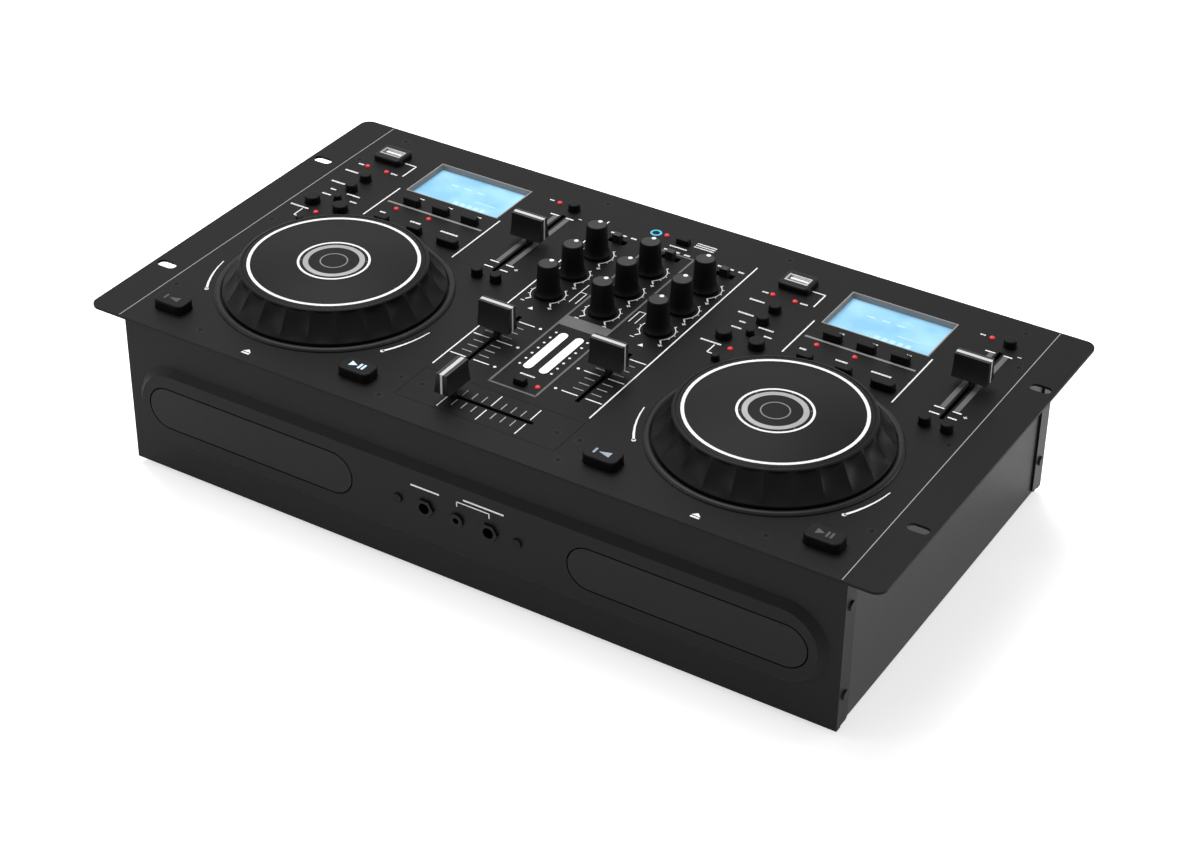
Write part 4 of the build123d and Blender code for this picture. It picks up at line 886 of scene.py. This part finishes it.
# Radius and height above the plate: skirt, waist, grip and the edge around the dished top
KNOB_PROFILE = (
    (KNOB_BORE_R, SHAFT_TOP),
    (KNOB_BORE_R, 0.8),
    (7.6, 0.8),
    (8.0, 1.1),
    (8.0, 1.7),
    (7.6, 2.2),
    (7.1, 3.2),
    (6.7, 4.6),
    (6.5, 7.0),
    (6.2, 13.0),
    (5.95, 19.3),
    (5.85, 19.75),
    (5.55, 20.0),
    (5.3, 20.0),
    (KNOB_FACE_R, 19.85),
    (0, KNOB_FACE),
)
SHAFT_PROFILE = (
    (0, SHAFT_LOW),
    (SHAFT_R, SHAFT_LOW),
    (SHAFT_R, SHAFT_TOP),
    (KNOB_BORE_R, SHAFT_TOP),
    (0, SHAFT_TOP + 0.2),
)


def dress_knob(name, u, v):
    """Smooth knob with a flared skirt, a dished top and a pointer spot."""
    knob = turned(f"{name}_body", u, v, KNOB_PROFILE, "knob", name, steps=72)
    shaft = turned(f"{name}_shaft", u, v, SHAFT_PROFILE, "steel", name, steps=32)
    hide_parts(name)
    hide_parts(name)
    face = PLATE_Z + KNOB_FACE
    cap = Print(f"{name}_top", face, shift=(u, v), thickness=THICK_INK)
    cap.disc(0, 0, KNOB_FACE_R, steps=48)
    cap.finish("knob_top", name, "knob_rubber")
    dot = Print(f"{name}_pointer", face + THICK_INK, shift=(u, v), thickness=THICK_INK)
    dot.disc(0, POINTER_V, POINTER_R)
    dot.finish("white", name, "knob_rubber")


for column, u in zip(("left", "middle", "right"), KNOB_U):
    for row, v in zip(("top", "centre", "low"), KNOB_V):
        dress_knob(f"knob_{column}_{row}", u, v)

# ----------------------------------------------------------------- fader caps
CAP_STRIPE = 2.2
CAP_END_STRIPE = 1.3
# Lower end of the line on a cap's end, above the plate
MIXER_LINE_LOW = 6.0
PITCH_LINE_LOW = 5.0


def mark_cap(node, along_x, line_low):
    """White line across a fader cap's top and down one of its ends.

    The end is the front one for a cap that slides along x, else the right one.
    """
    low, high = (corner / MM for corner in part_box(node))
    mid = (low + high) / 2
    height = high.z - PLATE_Z - line_low
    ink = Print(f"{node}_line", high.z, shift=(mid.x, mid.y), thickness=THICK_INK)
    if along_x:
        ink.box(0, 0, CAP_STRIPE, high.y - low.y)
        end = Print(f"{node}_end_line", -low.y, FRONT, (mid.x, high.z), THICK_INK)
    else:
        ink.box(0, 0, high.x - low.x, CAP_STRIPE)
        end = Print(f"{node}_end_line", high.x, RIGHT, (mid.y, high.z), THICK_INK)
    end.box(0, -height / 2, CAP_END_STRIPE, height)
    ink.finish("cap_line", node, "fader_cap")
    end.finish("cap_line", node, "fader_cap")


for node in ("channel_fader_left", "channel_fader_right"):
    mark_cap(node, False, MIXER_LINE_LOW)
for node in ("pitch_fader_a", "pitch_fader_b"):
    mark_cap(node, False, PITCH_LINE_LOW)
mark_cap("crossfader_cap", True, MIXER_LINE_LOW)

# -------------------------------------------------------------------- screens
SCREEN_RECESS = 4.5
SCREEN_HALF = (32.1, 19.2)
SCREEN_Y = 89.0
SCREEN_PANEL = 0.6
SCREEN_WALL = 0.8
SCREEN_WALL_LOW = 0.15  # under the plate's top
# Rows of marks: how many, first u, spacing, v, length and height of each
SCREEN_ROWS = (
    (5, -2.0, 4.6, -11.5, 3.0, 4.2),
    (3, -14.0, 9.0, 6.0, 5.0, 1.4),
    (1, 14.0, 0.0, -4.0, 14.0, 0.8),
)


def dress_screen(deck):
    """Lit panel on the floor of the display's well, pale liners on its walls that are partly the walls'
    own grey and partly painted light spilt from the panel, and faint generic marks.
    """
    shift = (DECK_X[deck], SCREEN_Y)
    floor = PLATE_Z - SCREEN_RECESS
    half_u, half_v = SCREEN_HALF
    inner_u, inner_v = 2 * (half_u - SCREEN_WALL), 2 * (half_v - SCREEN_WALL)
    panel = Print(f"screen_panel_{deck}", floor, shift=shift, thickness=SCREEN_PANEL)
    panel.box(0, 0, inner_u, inner_v)
    panel.finish("screen", CASE_BODY, "display_frame")
    # Pale liners on the well's walls: partly their own grey, partly painted light spilt from the lit panel
    walls = Print(f"screen_wall_painted_spill_liners_{deck}", floor, shift=shift, thickness=SCREEN_RECESS - SCREEN_WALL_LOW)
    for side in (-1, 1):
        walls.box(side * (half_u - SCREEN_WALL / 2), 0, SCREEN_WALL, 2 * half_v)
        walls.box(0, side * (half_v - SCREEN_WALL / 2), inner_u, SCREEN_WALL)
    walls.finish("screen_wall_painted_spill", CASE_BODY, "display_frame")
    marks = Print(f"screen_marks_{deck}", floor + SCREEN_PANEL, shift=shift, thickness=THIN_INK)
    for count, u, spacing, v, length, height in SCREEN_ROWS:
        for i in range(count):
            marks.box(u + spacing * i, v, length, height)
    marks.finish("screen_mark", CASE_BODY, "display_frame")


for deck in DECK_X:
    dress_screen(deck)

# ------------------------------------------------------------------ USB ports
USB_U, USB_V = -60.5, 97.0
USB_BEZEL = 4.0  # height above the plate
USB_TOP = PLATE_Z + USB_BEZEL
USB_OPENING = (12.6, 5.2)
USB_SHELL = 0.3
USB_SHELL_LOW = 9.0  # under the bezel's top
USB_LIP_ENDS = 0.8
USB_LIP_SIDES = 1.2
USB_LIP = 0.1
TONGUE_LOW = 11.5
TONGUE_LENGTH = 10.6
TONGUE_V = 1.1
TONGUE_SIZE = (10.8, 1.8)
CONTACT_LOW = 10.0
CONTACT_LENGTH = 8.4
CONTACT_U = (-3.5, -1.0, 1.0, 3.5)
CONTACT_SIZE = (1.0, 0.2)


def dress_port(deck):
    """Bright shell and lip of the opening, and the pale tongue with its contacts."""
    shift = (DECK_X[deck] + USB_U, USB_V)
    length, width = USB_OPENING
    shell = Print(
        f"usb_shell_{deck}",
        USB_TOP - USB_SHELL_LOW,
        shift=shift,
        thickness=USB_SHELL_LOW - USB_LIP,
    )
    shell.rim(length - 2 * USB_SHELL, width - 2 * USB_SHELL, USB_SHELL, USB_SHELL)
    shell.finish("steel", CASE_BODY, "socket_black")
    lip = Print(f"usb_lip_{deck}", USB_TOP, shift=shift, thickness=USB_LIP)
    lip.rim(length, width, USB_LIP_ENDS, USB_LIP_SIDES)
    lip.finish("steel", CASE_BODY, "socket_black")
    tongue = Print(f"usb_tongue_{deck}", USB_TOP - TONGUE_LOW, shift=shift, thickness=TONGUE_LENGTH)
    tongue.box(0, TONGUE_V, *TONGUE_SIZE)
    tongue.finish("port_white", CASE_BODY, "socket_black")
    contacts = Print(f"usb_contacts_{deck}", USB_TOP - CONTACT_LOW, shift=shift, thickness=CONTACT_LENGTH)
    for u in CONTACT_U:
        contacts.box(u, TONGUE_V - (TONGUE_SIZE[1] + CONTACT_SIZE[1]) / 2, *CONTACT_SIZE)
    contacts.finish("brass", CASE_BODY, "socket_black")


for deck in DECK_X:
    dress_port(deck)

# ------------------------------------------------------------------ rear side
LINE_X = (-150.0, -124.0, -98.0, -72.0)
LINE_LEVELS = {"red": 42.5, "white": 57.5}
# Radius and width of the bright rim and of the coloured ring
LINE_RIM = (3.7, 0.8)
LINE_RING = (2.55, 1.5)
INLET_X, INLET_Z, INLET_FLOOR = 172.0, 50.0, 108.4
PIN_PLACES = ((-7.0, -2.0), (7.0, -2.0), (0.0, 2.0))
PIN_SIZE = (2.0, 4.0)
PIN_LENGTH = 13.0


def dress_rear():
    """Bright rims and coloured insulators of the phono sockets, and the pins of the mains inlet."""
    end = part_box("rear_sockets")[1].y / MM
    rims = Print("line_socket_rims", end, across=REAR)
    rings = {colour: Print(f"line_socket_{colour}_rings", end, across=REAR) for colour in LINE_LEVELS}
    for x in LINE_X:
        for colour, level in LINE_LEVELS.items():
            rims.arc(-x, level, *LINE_RIM)
            rings[colour].arc(-x, level, *LINE_RING)
    rims.finish("steel", CASE_BODY, "socket_black")
    rings["red"].finish("socket_red", CASE_BODY, "socket_black")
    rings["white"].finish("port_white", CASE_BODY, "socket_black")
    pins = Print("inlet_pins", INLET_FLOOR, REAR, (-INLET_X, INLET_Z), PIN_LENGTH)
    for u, v in PIN_PLACES:
        pins.box(u, v, *PIN_SIZE)
    pins.finish("brass", CASE_BODY, "socket_black")


dress_rear()

# -------------------------------------------------------------- screw recesses, painted shade
CROSS_WIDTH = 0.6
CROSS_ARM = 1.0
RECESS_LIFT = 0.01
# Places on the right half of the plate
OUTER_SCREWS = ((204.0, 119.0), (60.0, 119.0), (214.5, 85.5), (214.5, -0.5), (214.5, -87.0))
FRONT_SCREWS = ((173.0, -117.5), (55.0, -117.5), (55.0, CROSS_V), (41.5, CROSS_V))


def mark_screws():
    """Painted shade: dark crosses on the heads of the sunk screws on the plate, standing in for the shade
    inside their cross recesses.
    """
    ink = Print("plate_screw_recess_painted_shade", PLATE_Z + RECESS_LIFT, thickness=THIN_INK)
    for side in (-1, 1):
        for u, v in OUTER_SCREWS + FRONT_SCREWS:
            ink.box(side * u, v, CROSS_WIDTH + 2 * CROSS_ARM, CROSS_WIDTH)
            for arm in (1, -1):
                ink.box(side * u, v + arm * (CROSS_WIDTH + CROSS_ARM) / 2, CROSS_WIDTH, CROSS_ARM)
    ink.finish("recess_shade", CASE_BODY, "black_screw")


mark_screws()

# ---------------------------------------------------------------- key symbols
SIGN_BAR = 1.3
PLAY_WEDGE = ((-4.6, -2.3), (-0.2, 0.0), (-4.6, 2.3))
PAUSE_U = (1.5, 3.8)
PAUSE_HEIGHT = 4.6
RETURN_WEDGE = ((4.2, 2.2), (-2.6, 0.0), (4.2, -2.2))
RETURN_U = -4.6
RETURN_HEIGHT = 4.4


def sign_on(node):
    """An empty print on top of a key."""
    low, high = (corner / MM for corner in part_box(node))
    mid = (low + high) / 2
    return Print(f"{node}_sign", high.z, shift=(mid.x, mid.y), thickness=SIGN_INK)


def mark_play(node, finish):
    """Play and pause sign on a key."""
    sign = sign_on(node)
    sign.shape(PLAY_WEDGE)
    for u in PAUSE_U:
        sign.box(u, 0, SIGN_BAR, PAUSE_HEIGHT)
    sign.finish(finish, node, "key_rubber")


def mark_return(node, finish):
    """Return-to-mark sign on a key: a bar and a wedge that points at it."""
    sign = sign_on(node)
    sign.box(RETURN_U, 0, SIGN_BAR, RETURN_HEIGHT)
    sign.shape(RETURN_WEDGE)
    sign.finish(finish, node, "key_rubber")


mark_play("play_key_a", "key_symbol_lit")
mark_play("play_key_b", "key_symbol_dim")
mark_return("cue_key_b", "key_symbol_mid")
mark_return("cue_key_a", "key_symbol_dim")

# ----------------------------------------------------------- camera and light
AZIMUTH = math.radians(31.886)
ELEVATION = math.radians(32.934)
ROLL = math.radians(0.391)
DISTANCE = 1.43903
TARGET = Vector((-0.011873, 0.000577, 0.064508))
FOCAL = 2610.84  # in pixels of the 1200 wide picture
PICTURE = (1200, 854)
CENTRE = (569.81, 373.02)  # of projection, in the picture
SENSOR = 36.0
NEAR_CLIP = 0.01
FLOOR_HALF = 6.0
FLOOR_LIFT = 0.6  # share of white that the background adds to the lit floor
FILL_STRENGTH = 0.35
WHITE = (1, 1, 1, 1)
# Place and aim in metres, size in metres, power in watts
LAMPS = {
    "key_light": ((-0.7, 0.6, 2.2), (0, 0, 0.1), 1.6, 52),
    "front_light": ((-2.1, -1.5, 1.2), (-0.1, 0, 0.05), 1.2, 13),
    "side_light": ((1.2, 0.95, 0.32), (0.22, 0.13, 0.05), 0.5, 4),
}


def make_camera():
    """Camera at the photograph's place."""
    across = math.cos(ELEVATION)
    back = Vector((math.sin(AZIMUTH) * across, -math.cos(AZIMUTH) * across, math.sin(ELEVATION)))
    level = Vector((0, 0, 1)).cross(back).normalized()
    upright = back.cross(level)
    right = math.cos(ROLL) * level + math.sin(ROLL) * upright
    up = -math.sin(ROLL) * level + math.cos(ROLL) * upright
    data = bpy.data.cameras.new("camera")
    data.sensor_width = SENSOR
    data.lens = FOCAL / PICTURE[0] * SENSOR
    data.shift_x = (PICTURE[0] / 2 - CENTRE[0]) / PICTURE[0]
    data.shift_y = (CENTRE[1] - PICTURE[1] / 2) / PICTURE[0]
    data.clip_start = NEAR_CLIP
    camera = bpy.data.objects.new("camera", data)
    bpy.context.scene.collection.objects.link(camera)
    turn = Matrix((right, up, back)).transposed().to_4x4()
    camera.matrix_world = Matrix.Translation(TARGET + back * DISTANCE) @ turn
    bpy.context.scene.camera = camera


def softbox(name, place, aim, size, power):
    """Square area lamp that looks at a point."""
    data = bpy.data.lights.new(name, "AREA")
    data.shape = "SQUARE"
    data.size = size
    data.energy = power
    lamp = bpy.data.objects.new(name, data)
    bpy.context.scene.collection.objects.link(lamp)
    lamp.location = place
    lamp.rotation_euler = (Vector(aim) - Vector(place)).to_track_quat("-Z", "Y").to_euler()


def background_rays(nodes, links):
    """One for the rays that show the background: seen, mirrored or seen through."""
    rays = nodes.new("ShaderNodeLightPath")
    seen = nodes.new("ShaderNodeMath")
    seen.operation = "MAXIMUM"
    links.new(rays.outputs["Is Camera Ray"], seen.inputs[0])
    links.new(rays.outputs["Is Glossy Ray"], seen.inputs[1])
    either = nodes.new("ShaderNodeMath")
    either.operation = "MAXIMUM"
    links.new(seen.outputs[0], either.inputs[0])
    links.new(rays.outputs["Is Transmission Ray"], either.inputs[1])
    return either.outputs[0]


def make_floor():
    """Pale seamless floor that keeps the object's shadow."""
    mesh = bmesh.new()
    square = ((-1, -1), (1, -1), (1, 1), (-1, 1))
    mesh.faces.new([mesh.verts.new((x * FLOOR_HALF, y * FLOOR_HALF, 0)) for x, y in square])
    data = bpy.data.meshes.new("floor")
    mesh.to_mesh(data)
    mesh.free()
    material = surface("pale_floor", 250, 0.9, grain=60, bump=0.0, mottle=0.005, specular=0.0)
    nodes = material.node_tree.nodes
    links = material.node_tree.links
    shader = nodes["Principled BSDF"]
    shader.inputs["Emission Color"].default_value = (FLOOR_LIFT, FLOOR_LIFT, FLOOR_LIFT, 1)
    links.new(background_rays(nodes, links), shader.inputs["Emission Strength"])
    data.materials.append(material)
    floor = bpy.data.objects.new("floor", data)
    bpy.context.scene.collection.objects.link(floor)


def make_world():
    """White surroundings for the rays that show the background, plain fill light for the rest."""
    world = bpy.data.worlds.new("studio")
    world.use_nodes = True
    bpy.context.scene.world = world
    nodes = world.node_tree.nodes
    links = world.node_tree.links
    fill = nodes["Background"]
    fill.inputs["Color"].default_value = WHITE
    fill.inputs["Strength"].default_value = FILL_STRENGTH
    seen = nodes.new("ShaderNodeBackground")
    seen.inputs["Color"].default_value = WHITE
    seen.inputs["Strength"].default_value = 1.0
    mix = nodes.new("ShaderNodeMixShader")
    links.new(background_rays(nodes, links), mix.inputs["Fac"])
    links.new(fill.outputs[0], mix.inputs[1])
    links.new(seen.outputs[0], mix.inputs[2])
    links.new(mix.outputs[0], nodes["World Output"].inputs["Surface"])


make_camera()
make_floor()
make_world()
for name, (place, aim, size, power) in LAMPS.items():
    softbox(name, place, aim, size, power)

bpy.context.scene.view_settings.view_transform = "Standard"
